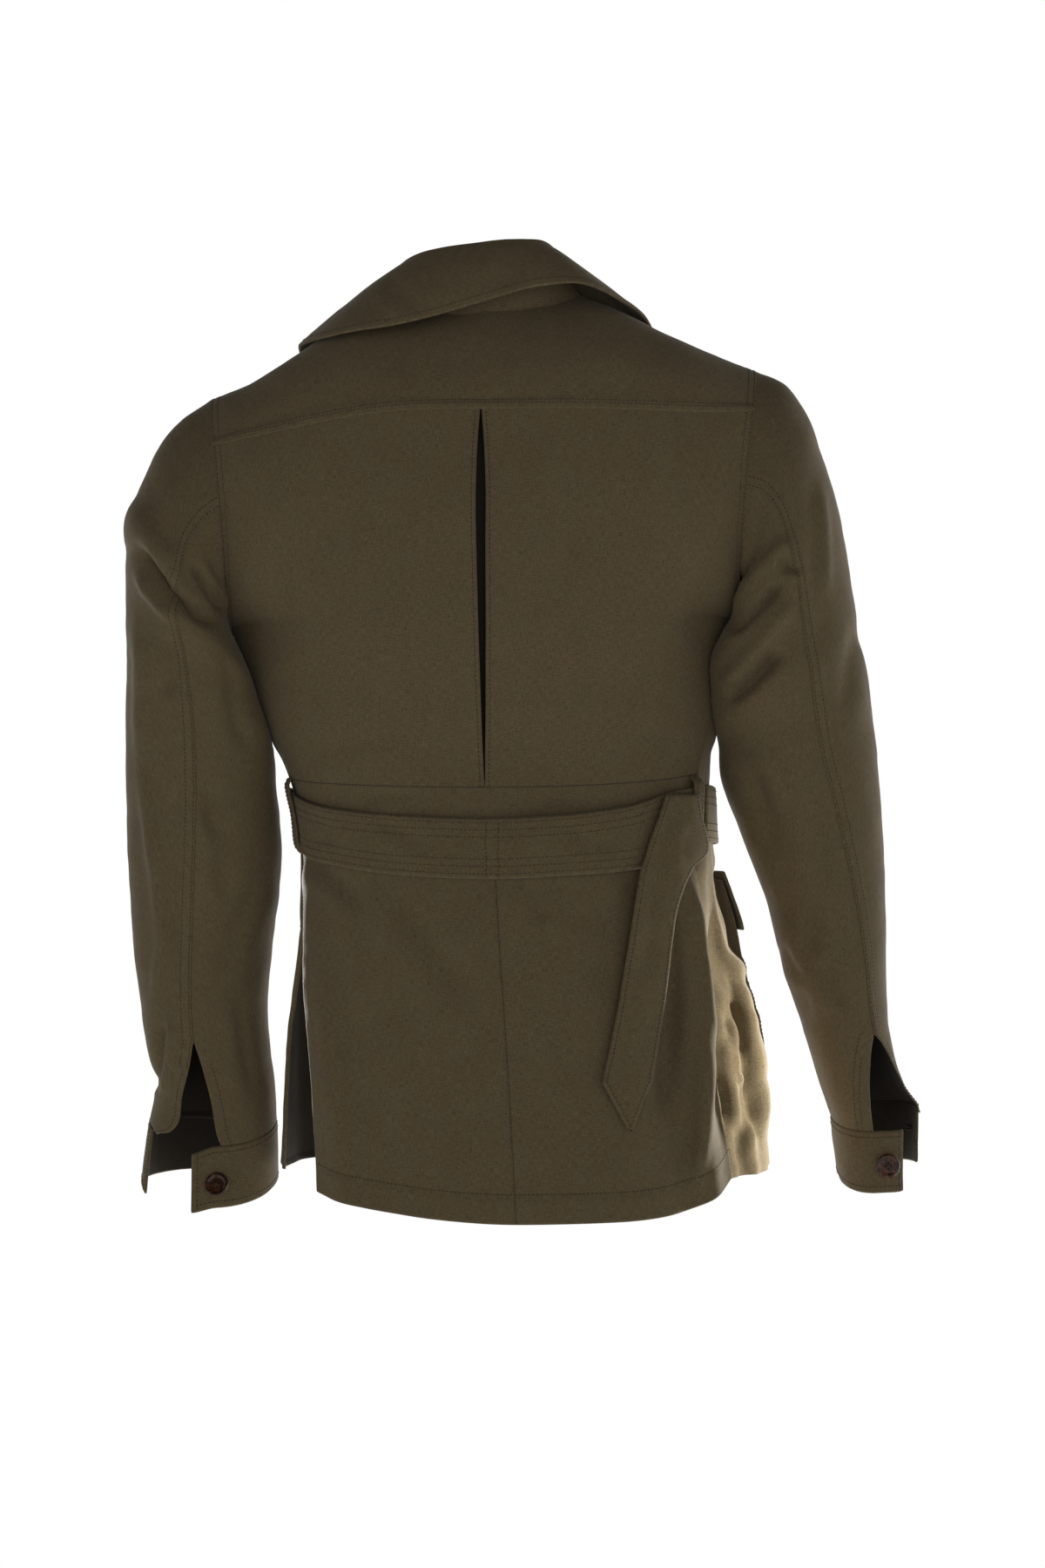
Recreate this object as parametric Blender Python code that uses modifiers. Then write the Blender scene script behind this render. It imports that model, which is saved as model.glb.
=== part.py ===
"""Belted linen jacket, worn form: thin cloth walls, one object per sewn piece.

Metres, +Z up.  The back of the jacket faces +Y, the wearer's left is +X and
the origin is at shoulder level on the centre line.  Tables are in millimetres.
"""
import math

import bmesh
import bpy
import numpy as np
from mathutils import Vector

for old in list(bpy.data.objects):
    bpy.data.objects.remove(old, do_unlink=True)

MM = 0.001
WALL = 1.3              # cloth wall
SEAM = 0.35             # clearance on each side of a smooth seam
CORNER_SEAM = 1.0       # clearance on each side of a seam that turns a corner
ARMPIT_SEAM = 5.5       # clearance under the arm, where two walls meet sharply

T_WAIST = 1.0           # height numbers: 0 hem, 1 waist seam, 2 armpit, 3 shoulder
T_BAND = 0.875
T_VENT = 0.625
T_ARMPIT = 2.0
T_YOKE = 2.75

BUTTON_R = 10.0
BUTTON_T = 3.0

LINEN = (0.062, 0.047, 0.027)
HORN = (0.040, 0.013, 0.005)


# ---------------------------------------------------------------- tables
def pchip(xs, ys, x):
    """Smooth curve through the rows of a column, without overshoot."""
    xs = np.asarray(xs, float)
    ys = np.asarray(ys, float)
    x = np.clip(np.asarray(x, float), xs[0], xs[-1])
    h = np.diff(xs)
    d = np.diff(ys) / h
    m = np.zeros(len(xs))
    if len(xs) == 2:
        m[:] = d[0]
    else:
        for i in range(1, len(xs) - 1):
            if d[i - 1] * d[i] > 0.0:
                w1 = 2.0 * h[i] + h[i - 1]
                w2 = h[i] + 2.0 * h[i - 1]
                m[i] = (w1 + w2) / (w1 / d[i - 1] + w2 / d[i])
        m[0] = d[0]
        m[-1] = d[-1]
    k = np.clip(np.searchsorted(xs, x, side="right") - 1, 0, len(xs) - 2)
    f = (x - xs[k]) / h[k]
    return ((1 + 2 * f) * (1 - f) ** 2 * ys[k] + f * (1 - f) ** 2 * h[k] * m[k]
            + f * f * (3 - 2 * f) * ys[k + 1] + f * f * (f - 1) * h[k] * m[k + 1])


class Table:
    """Rows of sizes with named columns; the first column is the parameter."""

    def __init__(self, columns, rows):
        self.names = columns.split()
        self.rows = np.array(rows, float)

    def __call__(self, name, x):
        return pchip(self.rows[:, 0], self.rows[:, self.names.index(name)], x)

    def point(self, names, x):
        return np.stack([self(n, x) for n in names.split()], axis=-1)


# edges of the back pieces at the side seams and vents
BACK_EDGE = Table("t lx ly lz rx ry rz", (
    (0.000, 131, 58, -652, -196, 44, -643),
    (0.300, 136, 48, -556, -184, 46, -552),
    (0.625, 145, 22, -448, -171, 42, -446),
    (0.875, 147, 8, -371, -168, 36, -369),
    (1.000, 156, 2, -326, -170, 30, -323),
    (1.250, 172, -2, -295, -178, 20, -292),
    (1.500, 187, -6, -265, -187, 8, -260),
    (1.750, 196, -10, -235, -193, -2, -228),
    (2.000, 206, -12, -203, -203, -8, -195)))

# edges of the fronts below the vents' tops; above, they follow the backs
FRONT_EDGE = Table("t lx ly lz rx ry rz", (
    (0.000, 167, -28, -640, -186, 45, -640),
    (0.300, 161, -14, -545, -175, 46, -550),
    (0.500, 151, 10, -486, -171, 43, -488),
    (0.625, 145, 22, -448, -171, 42, -446)))

# centre lines: place, angle each half wraps round the body, rise towards the edges
BACK_MID = Table("t x y z wrap_l wrap_r rise_l rise_r", (
    (0.000, -25, 118, -669, 62, 58, 1.6, 5.0),
    (0.300, -20, 112, -577, 68, 60, 1.8, 3.0),
    (0.625, -12, 104, -457, 78, 62, 2.0, 2.0),
    (0.875, -7, 96, -380, 82, 64, 2.0, 2.0),
    (1.000, -1, 93, -334, 84, 66, 2.0, 2.0),
    (1.500, 0, 101, -268, 80, 72, 2.0, 2.0),
    (2.000, 1, 112, -199, 76, 74, 2.0, 2.0),
    (2.400, 2, 115, -122, 64, 64, 2.0, 2.0),
    (2.750, 2, 108, -41, 54, 54, 2.0, 2.0)))

FRONT_MID = Table("t x y z wrap_l wrap_r rise_l rise_r", (
    (0.000, -34, -130, -630, 88, 129, 1.0, 1.0),
    (0.300, -30, -127, -541, 92, 130, 1.0, 1.0),
    (0.625, -22, -121, -444, 102, 124, 1.0, 1.0),
    (0.875, -14, -112, -368, 99, 114, 1.0, 1.0),
    (1.000, -9, -109, -326, 97, 111, 1.0, 1.0),
    (1.500, -4, -118, -262, 100, 105, 1.0, 1.0),
    (2.000, 0, -127, -198, 95, 97, 1.0, 1.0),
    (2.400, 2, -113, -116, 66, 66, 1.0, 1.0),
    (2.750, 2, -66, -24, 50, 50, 1.0, 1.0),
    (3.000, 3, 10, 70, 40, 40, 1.0, 1.0)))

# armholes: highest and lowest points, reach to the back and front
ARMHOLE = {
    +1: dict(top=(221, -6, -21), low=(206, -12, -203), back=66, front=68, inset=18),
    -1: dict(top=(-219, -6, 3), low=(-203, -8, -195), back=66, front=68, inset=18)}

# shoulder seams and back neck, from the centre back outwards
SHOULDER = Table("s lx ly lz rx ry rz", (
    (0.00, 1, 74, 40, 1, 74, 40),
    (0.17, 40, 62, 42, -38, 62, 45),
    (0.34, 76, 24, 53, -73, 24, 60),
    (0.67, 148, 4, 14, -146, 4, 28),
    (0.84, 184, -2, -8, -182, -2, 14),
    (1.00, 221, -6, -21, -219, -6, 3)))

# how high the yoke climbs before it turns over the shoulder
YOKE_RISE = Table("s rise", ((0.0, 0.52), (0.34, 0.80), (0.67, 1.04), (1.0, 1.0)))

# half width of the centre pleat's slit
SLIT = Table("t half", (
    (1.000, 0.5), (1.250, 1.2), (1.750, 2.0), (2.250, 2.8), (2.450, 3.3),
    (2.600, 2.6), (2.750, 0.6)))

# inner edge of the fronts, as a share of the half width
NECKLINE = Table("t s", ((0.0, -0.10), (2.000, -0.10), (2.125, -0.09), (2.750, 0.20), (3.0, 0.34)))
LAPEL = Table("t width", ((2.14, 0.05), (2.30, 0.19), (2.50, 0.36), (2.61, 0.44)))

# collar: neck seam, roll line and outer edge from the left front to the right
COLLAR = Table("c sx sy sz rx ry rz ex ey ez bulge", (
    (0, 51, -64, -22, 50, -74, -14, 112, -84, -46, 3),
    (1, 66, -18, 27, 68, -24, 44, 144, -42, -2, 4),
    (2, 76, 22, 55, 68, 28, 78, 150, 12, 21, 2),
    (3, 72, 36, 53, 62, 48, 83, 130, 62, 20, 3),
    (4, 48, 59, 44, 48, 62, 87, 88, 92, 23, 5),
    (5, 24, 71, 42, 26, 70, 90, 46, 98, 31, 5),
    (6, 1, 75, 42, 1, 72, 92, -2, 96, 45, 4),
    (7, -22, 71, 43, -24, 70, 95, -40, 94, 56, 4),
    (8, -46, 59, 46, -44, 62, 96, -72, 88, 60, 3),
    (9, -69, 36, 58, -55, 46, 92, -106, 62, 52, 2),
    (10, -73, 22, 62, -59, 26, 85, -131, 16, 40, 2),
    (11, -66, -18, 34, -68, -24, 50, -144, -42, 9, 4),
    (12, -51, -64, -14, -50, -74, -6, -112, -84, -38, 3)))

# sleeves: outer and inner points of each ring, half depth, forward shift, seam
SLEEVE = {
    +1: Table("k ox oz oy ix iz iy depth seam drop", (
        (0, 221, -21, -9, 206, -203, -9, 67, 90, 0),
        (1, 245, -37, -9, 209, -208, -6, 69, 91, 0),
        (2, 265, -60, -9, 209, -215, -1, 70, 93, 0),
        (3, 280, -95, -10, 207, -225, 2, 70, 95, 0),
        (4, 290, -129, -11, 205, -239, 5, 68, 96, 0),
        (6, 291, -204, -14, 189, -277, 2, 65, 95, 0),
        (8, 293, -282, -20, 173, -320, -10, 62, 93, 0),
        (10, 293, -365, -30, 168, -379, -26, 59, 90, 0),
        (12, 291, -446, -42, 174, -448, -42, 56, 87, 0),
        (14, 283, -522, -53, 181, -520, -53, 53, 84, 2),
        (16, 274, -586, -62, 176, -583, -62, 51, 81, 9),
        (17, 278, -607, -65, 174, -610, -65, 52, 80, 16))),
    -1: Table("k ox oz oy ix iz iy depth seam drop", (
        (0, -219, 3, -7, -203, -195, -7, 67, 90, 0),
        (1, -241, -7, -8, -208, -200, -5, 69, 89, 0),
        (2, -259, -31, -9, -207, -208, -1, 70, 88, 0),
        (3, -272, -66, -10, -205, -220, 2, 70, 87, 0),
        (4, -285, -105, -11, -202, -235, 5, 68, 86, 0),
        (6, -301, -194, -13, -194, -275, 3, 65, 82, 0),
        (8, -314, -278, -16, -191, -318, -6, 63, 78, 0),
        (10, -322, -360, -22, -209, -370, -18, 62, 72, 0),
        (12, -327, -439, -31, -234, -437, -31, 61, 66, 0),
        (14, -330, -519, -42, -258, -517, -42, 60, 62, 0),
        (16, -345, -577, -52, -278, -582, -52, 59, 64, 4),
        (17, -357, -596, -56, -287, -606, -56, 59, 66, 9)))}
K_SLIT = 14.4           # the cuff slit begins below this ring
K_CUFF = 17.0
# edges of the slit at the cuff, and ends of the cuff band, in degrees
CUFF_END = {+1: dict(under=103, top=38, start=77, end=380),
            -1: dict(under=106, top=5, start=62, end=357)}
# cuff bands: drop below the sleeve's edge, height, and flare of the free edge
CUFF = {
    +1: Table("angle drop height flare", (
        (77, 9.0, 46, 2), (99, 1.8, 48, 1), (180, 1.4, 47, 0),
        (270, 1.4, 46, 2), (360, 1.4, 50, 7), (380, 3.0, 52, 6))),
    -1: Table("angle drop height flare", (
        (62, 5.0, 48, 0), (98, 1.8, 48, 0), (180, 1.4, 47, -6),
        (270, 1.4, 47, 0), (357, 1.4, 46, 0)))}

# belt: upper and lower edge and stand-off, from the right loop to the left
BELT_BACK = Table("s top bottom off", (
    (-1.00, -334, -376, 4.5), (-0.80, -338, -388, 5.0), (-0.55, -350, -398, 6.5),
    (-0.25, -357, -402, 7.0), (0.00, -359, -404, 4.0), (0.35, -356, -401, 4.0),
    (0.65, -350, -394, 4.0), (0.85, -343, -388, 3.6), (1.00, -336, -379, 3.4)))
BELT_FRONT_TOP = -332
BELT_FRONT_DROP = 8
BELT_WIDTH = 44
BELT_OFF = 4.5

# belt's hanging end: centre line on the right back, width and stand-off
TAIL = Table("v x z width off", (
    (0.00, -150, -341, 24, 11), (0.08, -148, -355, 30, 12), (0.19, -145, -385, 45, 13),
    (0.26, -139, -399, 40, 13), (0.42, -132, -439, 35, 12), (0.52, -128, -466, 36, 10),
    (0.65, -124, -500, 36, 9), (0.80, -116, -541, 36, 8), (0.89, -112, -564, 37, 8),
    (1.00, -113, -600, 5, 8)))

# largest folds of each piece; columns: across, along, half_across, half_along, depth, lean
FOLDS = {
    "skirt_back_right": ((-0.86, 0.25, 0.07, 0.36, 7, 0.02), (-0.72, 0.25, 0.08, 0.36, -5, 0.02),
                         (-0.45, 0.10, 0.12, 0.40, 3, 0.0)),
    "skirt_back_left": ((0.80, 0.10, 0.10, 0.35, 4, 0.0), (0.50, 0.05, 0.12, 0.30, -3, 0.0)),
    "front_right": ((-0.80, 0.25, 0.07, 0.40, 6, 0.0), (-0.90, 0.62, 0.07, 0.22, -9, 0.05),
                    (-0.62, 0.20, 0.08, 0.40, -5, 0.0)),
    "front_left": ((0.75, 0.20, 0.08, 0.40, 5, 0.0), (0.45, 0.20, 0.09, 0.40, -4, 0.0)),
    "sleeve_left": ((130, 4.4, 40, 0.9, -7, -0.02), (60, 3.6, 50, 0.7, -5, 0.02),
                    (110, 10.5, 60, 0.9, -4, 0.01)),
    "sleeve_right": ((130, 4.2, 45, 0.9, -6, 0.02), (125, 6.2, 45, 0.8, -5, 0.02),
                     (150, 13.0, 40, 0.8, -5, 0.0))}


# ---------------------------------------------------------------- surfaces
def unit(v):
    return v / np.maximum(np.linalg.norm(v, axis=-1, keepdims=True), 1e-9)


def smoothstep(a, b, x):
    f = np.clip((np.asarray(x, float) - a) / (b - a), 0.0, 1.0)
    return f * f * (3 - 2 * f)


def folds(piece, across, along):
    """Height of a piece's folds: soft troughs (below 0) and ridges."""
    total = np.zeros(np.broadcast(across, along).shape)
    for a0, b0, wa, wb, depth, lean in FOLDS.get(piece, ()):
        total += depth * np.exp(-((across - a0 - lean * (along - b0)) / wa) ** 2
                                - ((along - b0) / wb) ** 2)
    return total


def armhole(side, angle):
    """Armhole seam: 0 shoulder tip, 90 back, 180 armpit, 270 front (degrees)."""
    a = ARMHOLE[side]
    top, low = np.array(a["top"], float), np.array(a["low"], float)
    c, s = np.cos(np.radians(angle)), np.sin(np.radians(angle))
    p = (top + low) / 2 + c[..., None] * (top - low) / 2
    p[..., 1] += np.where(s > 0, a["back"], a["front"]) * s
    p[..., 0] -= side * a["inset"] * np.where(s > 0, 0.25, 1.0) * s * s
    return p


def edge(side, t, front):
    """Outer edge of a back or front at height number t."""
    tag = "lx ly lz" if side > 0 else "rx ry rz"
    low = BACK_EDGE.point(tag, np.minimum(t, T_ARMPIT))
    if front:
        vent = FRONT_EDGE.point(tag, np.minimum(t, T_VENT))
        low = np.where((t < T_VENT)[..., None], vent, low)
    turn = 180.0 * (np.clip(t, 2.0, 3.0) - 2.0)
    ring = armhole(side, 180.0 + turn if front else 180.0 - turn)
    return np.where((t > T_ARMPIT)[..., None], ring, low)


EASE = np.linspace(-0.42, 0.42, 9)      # the armhole's line is eased over this height


def section(s, t, front, e):
    """Half ovals from the centre line to the edge points e."""
    table = FRONT_MID if front else BACK_MID
    mid = table.point("x y z", t)
    left = s >= 0
    wrap = np.radians(np.where(left, table("wrap_l", t), table("wrap_r", t)))
    rise = np.where(left, table("rise_l", t), table("rise_r", t))
    a = np.abs(s)
    th = a * wrap
    x = mid[..., 0] + (e[..., 0] - mid[..., 0]) * np.sin(th) / np.sin(wrap)
    y = e[..., 1] + (mid[..., 1] - e[..., 1]) * (np.cos(th) - np.cos(wrap)) / (1 - np.cos(wrap))
    z = mid[..., 2] + (e[..., 2] - mid[..., 2]) * a ** rise
    return np.stack([x, y, z], axis=-1)


def side_edge(s, t, front):
    return np.where((s >= 0)[..., None], edge(+1, t, front), edge(-1, t, front))


def torso(s, t, front):
    """Body surface; s runs from -1 (right edge) through 0 (centre) to +1."""
    s, t = np.broadcast_arrays(np.asarray(s, float), np.asarray(t, float))
    e = side_edge(s, t, front)
    last = 3.0 if front else T_YOKE
    eased = np.zeros(e.shape)
    for d in EASE:
        eased += side_edge(s, np.clip(t + d, 0.7, last), front) / len(EASE)
    share = (smoothstep(1.1, 1.6, t) * (1 - smoothstep(last - 0.4, last, t)))[..., None]
    soft = e + share * (eased - e)
    p = section(s, t, front, soft) + smoothstep(0.40, 1.0, np.abs(s))[..., None] * (e - soft)
    if front:
        row = np.full(s.shape, 3.0)
        top = shoulder(s) - section(s, row, True, side_edge(s, row, True))
        p = p + smoothstep(2.55, 3.0, t)[..., None] * top
    return p


def shoulder(s):
    """Shoulder seams and back neck."""
    s = np.asarray(s, float)
    left = SHOULDER.point("lx ly lz", np.abs(s))
    right = SHOULDER.point("rx ry rz", np.abs(s))
    return np.where((s >= 0)[..., None], left, right)


def normal(fn, u, v, sign, du=1e-3, dv=1e-3):
    """Outward direction of a surface fn(u, v)."""
    pu = fn(u + du, v) - fn(u - du, v)
    pv = fn(u, v + dv) - fn(u, v - dv)
    return sign * unit(np.cross(pu, pv))


def body(s, t, front, off=0.0, piece=None):
    """Body surface moved outwards by off, with the folds of one piece."""
    s, t = np.broadcast_arrays(np.asarray(s, float), np.asarray(t, float))
    t_in = np.clip(t, 0.002, (2.998 if front else T_YOKE - 0.002))
    n = normal(lambda a, b: torso(a, b, front), s, t_in, +1.0 if front else -1.0)
    h = np.asarray(off, float) + (folds(piece, s, t) if piece else 0.0)
    return torso(s, t, front) + n * np.broadcast_to(h, s.shape)[..., None]


def height_number(s, z, front):
    """Height number at which the body surface at s reaches height z."""
    s, z = np.broadcast_arrays(np.asarray(s, float), np.asarray(z, float))
    grid = np.linspace(0.0, 1.6, 161)
    out = np.empty(s.shape)
    for i in np.ndindex(s.shape):
        out[i] = np.interp(z[i], torso(np.full(161, s[i]), grid, front)[:, 2], grid)
    return out


def yoke_surface(s, v):
    """Yoke from its seam (v 0) over the shoulder to the front seam (v 1)."""
    s, v = np.broadcast_arrays(np.asarray(s, float), np.asarray(v, float))
    a = torso(s, np.full(s.shape, T_YOKE), False)
    b = shoulder(s)
    c = np.stack([a[..., 0] * 0.6 + b[..., 0] * 0.4,
                  a[..., 1] - 0.12 * (a[..., 1] - b[..., 1]),
                  a[..., 2] + YOKE_RISE("rise", np.abs(s)) * (b[..., 2] - a[..., 2])], axis=-1)
    w = v[..., None]
    p = (1 - w) ** 2 * a + 2 * w * (1 - w) * c + w * w * b
    for side in (+1, -1):
        end = np.full(s.shape, float(side))
        ea = torso(end, np.full(s.shape, T_YOKE), False)
        eb = shoulder(end)
        ec = np.stack([ea[..., 0] * 0.6 + eb[..., 0] * 0.4,
                       ea[..., 1] - 0.12 * (ea[..., 1] - eb[..., 1]), eb[..., 2]], axis=-1)
        plain = (1 - w) ** 2 * ea + 2 * w * (1 - w) * ec + w * w * eb
        ring = armhole(side, 45.0 * (1 - v))
        p = p + (smoothstep(0.7, 1.0, side * s)[..., None]) * (ring - plain)
    return p


def sleeve_surface(side, k, angle):
    """Sleeve: ring k from the armhole (0) to the cuff, angle 0 outer, 90 back."""
    k, angle = np.broadcast_arrays(np.asarray(k, float), np.asarray(angle, float))
    tb = SLEEVE[side]
    c, s = np.cos(np.radians(angle)), np.sin(np.radians(angle))
    o = np.stack([tb("ox", k), tb("oy", k), tb("oz", k)], axis=-1)
    i = np.stack([tb("ix", k), tb("iy", k), tb("iz", k)], axis=-1)
    p = (o + i) / 2 + c[..., None] * (o - i) / 2
    p[..., 1] += tb("depth", k) * s
    p[..., 2] -= tb("drop", k) * np.maximum(s, 0.0)
    ring = armhole(side, angle)
    plain0 = sleeve0(side, angle)
    return p + (1 - smoothstep(0.0, 3.0, k))[..., None] * (ring - plain0)


def sleeve0(side, angle):
    tb = SLEEVE[side]
    z = np.zeros(np.shape(angle))
    c, s = np.cos(np.radians(angle)), np.sin(np.radians(angle))
    o = np.stack([tb("ox", z), tb("oy", z), tb("oz", z)], axis=-1)
    i = np.stack([tb("ix", z), tb("iy", z), tb("iz", z)], axis=-1)
    p = (o + i) / 2 + c[..., None] * (o - i) / 2
    p[..., 1] += tb("depth", z) * s
    return p


def sleeve(side, k, angle, off=0.0):
    k, angle = np.broadcast_arrays(np.asarray(k, float), np.asarray(angle, float))
    n = normal(lambda a, b: sleeve_surface(side, a, b), np.clip(k, 0.01, K_CUFF - 0.01), angle,
               -side, 0.01, 0.1)
    name = "sleeve_left" if side > 0 else "sleeve_right"
    h = np.asarray(off, float) + folds(name, np.mod(angle, 360.0), k) * smoothstep(0.0, 2.0, k)
    return sleeve_surface(side, k, angle) + n * np.broadcast_to(h, k.shape)[..., None]


def cuff_surface(side, angle, w):
    """Cuff band; w 0 at the sleeve, 1 at the free edge."""
    angle, w = np.broadcast_arrays(np.asarray(angle, float), np.asarray(w, float))
    base = sleeve_surface(side, np.full(angle.shape, K_CUFF), angle)
    tb, sl = CUFF[side], SLEEVE[side]
    mid = np.array([(sl.rows[-1, 1] + sl.rows[-1, 4]) / 2, sl.rows[-1, 3]])
    out = unit(base[..., :2] - mid)
    p = base.copy()
    p[..., :2] += out * (tb("flare", angle) * w)[..., None]
    p[..., 2] -= tb("drop", angle) + tb("height", angle) * w
    return p


def collar_surface(c, w):
    """Collar; w 0 neck seam, 0.4 roll line, 1 outer edge."""
    c, w = np.broadcast_arrays(np.asarray(c, float), np.asarray(w, float))
    s, r, e = (COLLAR.point(n, c) for n in ("sx sy sz", "rx ry rz", "ex ey ez"))
    out = unit((e - r) * np.array([1.0, 1.0, 0.0]))
    up = np.array([0.0, 0.0, 1.0])
    stand = r - 3.0 * out - 3.0 * up
    turn = r + 3.0 * out - 2.0 * up
    f = np.clip(w / 0.36, 0, 1)[..., None]
    inner = s + (stand - s) * f
    g = np.clip((w - 0.36) / 0.08, 0, 1)[..., None]
    over = (1 - g) ** 2 * stand + 2 * g * (1 - g) * (r + 4.0 * up) + g * g * turn
    q = np.clip((w - 0.44) / 0.56, 0, 1)[..., None]
    lift = COLLAR("bulge", c)[..., None] * (0.55 * out + 0.85 * up)
    ctrl = (turn + e) / 2 + 2.0 * lift
    fall = (1 - q) ** 2 * turn + 2 * q * (1 - q) * ctrl + q * q * e
    w = w[..., None]
    return np.where(w <= 0.36, inner, np.where(w <= 0.44, over, fall))


# ---------------------------------------------------------------- objects
jacket = bpy.data.collections.new("belted_jacket")
bpy.context.scene.collection.children.link(jacket)
root = bpy.data.objects.new("jacket_frame", None)
jacket.objects.link(root)


def material(name, colour, rough):
    m = bpy.data.materials.new(name)
    m.use_nodes = True
    b = m.node_tree.nodes["Principled BSDF"]
    b.inputs["Base Color"].default_value = (*colour, 1.0)
    b.inputs["Roughness"].default_value = rough
    b.inputs["Metallic"].default_value = 0.0
    m.diffuse_color = (*colour, 1.0)
    return m


def add_object(name, me, colour, rough):
    me.materials.append(material(name + "_finish", colour, rough))
    ob = bpy.data.objects.new(name, me)
    ob.parent = root
    jacket.objects.link(ob)
    return ob


def pull_in(grid, first=0.0, last=0.0, start=0.0, stop=0.0):
    """Draw the rim of a grid in from its seams: first/last row, start/stop column."""
    g = grid.copy()

    def draw(edge_row, next_row, d):
        step = next_row - edge_row
        return edge_row + unit(step) * np.broadcast_to(d, step.shape[:1])[:, None]

    g[0], g[-1] = draw(grid[0], grid[1], first), draw(grid[-1], grid[-2], last)
    h = g.copy()
    h[:, 0], h[:, -1] = draw(g[:, 0], g[:, 1], start), draw(g[:, -1], g[:, -2], stop)
    return h


def cloth(name, grid, flip=False, wall=WALL):
    """Cloth wall: a grid laid on points (rows x columns, millimetres), then thickened."""
    n, m = grid.shape[0] - 1, grid.shape[1] - 1
    bm = bmesh.new()
    bmesh.ops.create_grid(bm, x_segments=m, y_segments=n, size=1.0)
    for v in bm.verts:
        i = round((v.co.y + 1.0) * n / 2.0)
        j = round((v.co.x + 1.0) * m / 2.0)
        v.co = grid[i, j] * MM
    if flip:
        bmesh.ops.reverse_faces(bm, faces=bm.faces[:])
    me = bpy.data.meshes.new(name)
    bm.to_mesh(me)
    bm.free()
    me.shade_smooth()
    ob = add_object(name, me, LINEN, 0.9)
    mod = ob.modifiers.new("wall", "SOLIDIFY")
    mod.thickness = wall * MM
    mod.offset = 0.0
    mod.use_even_offset = False
    return ob


# half section of a button, from the dished top's centre over the rim to the back
BUTTON_PROFILE = ((0.0, 2.0), (6.6, 2.2), (7.6, BUTTON_T), (9.2, BUTTON_T),
                  (BUTTON_R, 2.2), (BUTTON_R, 1.0), (8.2, 0.0), (0.0, 0.0))
BUTTON_STEPS = 18


def button(name, centre, facing):
    """Round button with a raised rim, turned about its axis and set on a cloth at centre (mm)."""
    bm = bmesh.new()
    ring = [bm.verts.new((r * MM, 0.0, h * MM)) for r, h in BUTTON_PROFILE]
    for a, b in zip(ring, ring[1:]):
        bm.edges.new((a, b))
    me = bpy.data.meshes.new(name)
    bm.to_mesh(me)
    bm.free()
    ob = add_object(name, me, HORN, 0.25)
    turn = ob.modifiers.new("turn", "SCREW")
    turn.axis = "Z"
    turn.angle = 2.0 * math.pi
    turn.steps = BUTTON_STEPS
    turn.render_steps = BUTTON_STEPS
    turn.use_merge_vertices = True
    turn.merge_threshold = 0.00001
    turn.use_smooth_shade = True
    ob.location = Vector(centre) * MM
    ob.rotation_euler = Vector(facing).to_track_quat("Z", "Y").to_euler()
    return ob


# ---------------------------------------------------------------- torso pieces
SKIRT_ROWS = np.linspace(0.0, T_BAND, 8)
BAND_ROWS = np.linspace(T_BAND, T_WAIST, 3)
BACK_ROWS = np.concatenate([np.linspace(1.0, 2.0, 5), np.linspace(2.125, T_YOKE, 6)])
FRONT_ROWS = np.concatenate([BAND_ROWS, BACK_ROWS[1:], [2.875, 3.0]])
HALF = np.linspace(0.0, 1.0, 8)


def armhole_gap(angle):
    """Clearance at the armhole: widest in the armpit."""
    return CORNER_SEAM + (ARMPIT_SEAM - CORNER_SEAM) * smoothstep(0.35, 1.0, (1 - np.cos(np.radians(angle))) / 2)


for side, tag in ((+1, "left"), (-1, "right")):
    # upper back, from the slit of the centre pleat to the side and armhole
    t = BACK_ROWS[:, None]
    slit = SLIT("half", t) / 210.0
    s = side * (slit + (1 - slit) * HALF[None, :])
    at_ring = np.where(BACK_ROWS >= 2.0, armhole_gap(180.0 * (3.0 - np.maximum(BACK_ROWS, 2.0))), SEAM)
    g = body(s, np.broadcast_to(t, s.shape), False, 0.0, "back_" + tag)
    cloth("back_" + tag, pull_in(g, SEAM, SEAM, 0.0, at_ring), flip=side > 0)

    # skirt back, centre seam to vent
    t = np.broadcast_to(SKIRT_ROWS[:, None], (8, 8))
    g = body(side * HALF[None, :] + 0 * t, t, False, 0.0, "skirt_back_" + tag)
    gap = np.where(SKIRT_ROWS >= T_VENT, SEAM, 0.0)
    cloth("skirt_back_" + tag, pull_in(g, 0.0, SEAM, SEAM, gap), flip=side > 0)

    # front: chest and skirt, parted under the belt; the left laps over the right
    for name, rows, low, top in (("front_", FRONT_ROWS, SEAM, CORNER_SEAM), ("front_skirt_", SKIRT_ROWS, 0.0, SEAM)):
        t = rows[:, None]
        inner = NECKLINE("s", t)
        u = np.linspace(0.0, 1.0, 11)[None, :]
        s = side * (inner + (1 - inner) * u)
        tt = np.broadcast_to(t, s.shape)
        lap = (2.6 if side > 0 else -1.2) * (1 - smoothstep(0.05, 0.40, side * s)) * (1 - smoothstep(2.1, 2.6, tt))
        g = body(s, tt, True, lap, "front_" + tag)
        ring = armhole_gap(180.0 * (np.maximum(rows, 2.0) - 1.0))
        gap = np.where(rows >= 2.0, ring, SEAM)
        cloth(name + tag, pull_in(g, low, top, 0.0, gap), flip=side < 0)

    # lapel, turned back on the front
    low = 2.14 if side > 0 else 2.42
    rows = np.linspace(low, 2.61, 7)[:, None]
    width = LAPEL("width", 2.14 + (rows - low) * 0.47 / (2.61 - low))
    s = side * (NECKLINE("s", rows) + 0.012 + width * np.linspace(0, 1, 4)[None, :])
    over = 2.6 + np.array([0.6, 2.4, 2.2, 1.2])[None, :] + (2.0 if side > 0 else 0.0)
    g = body(s, np.broadcast_to(rows, s.shape), True, np.broadcast_to(over, s.shape))
    cloth("lapel_" + tag, g, flip=side < 0)

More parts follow.
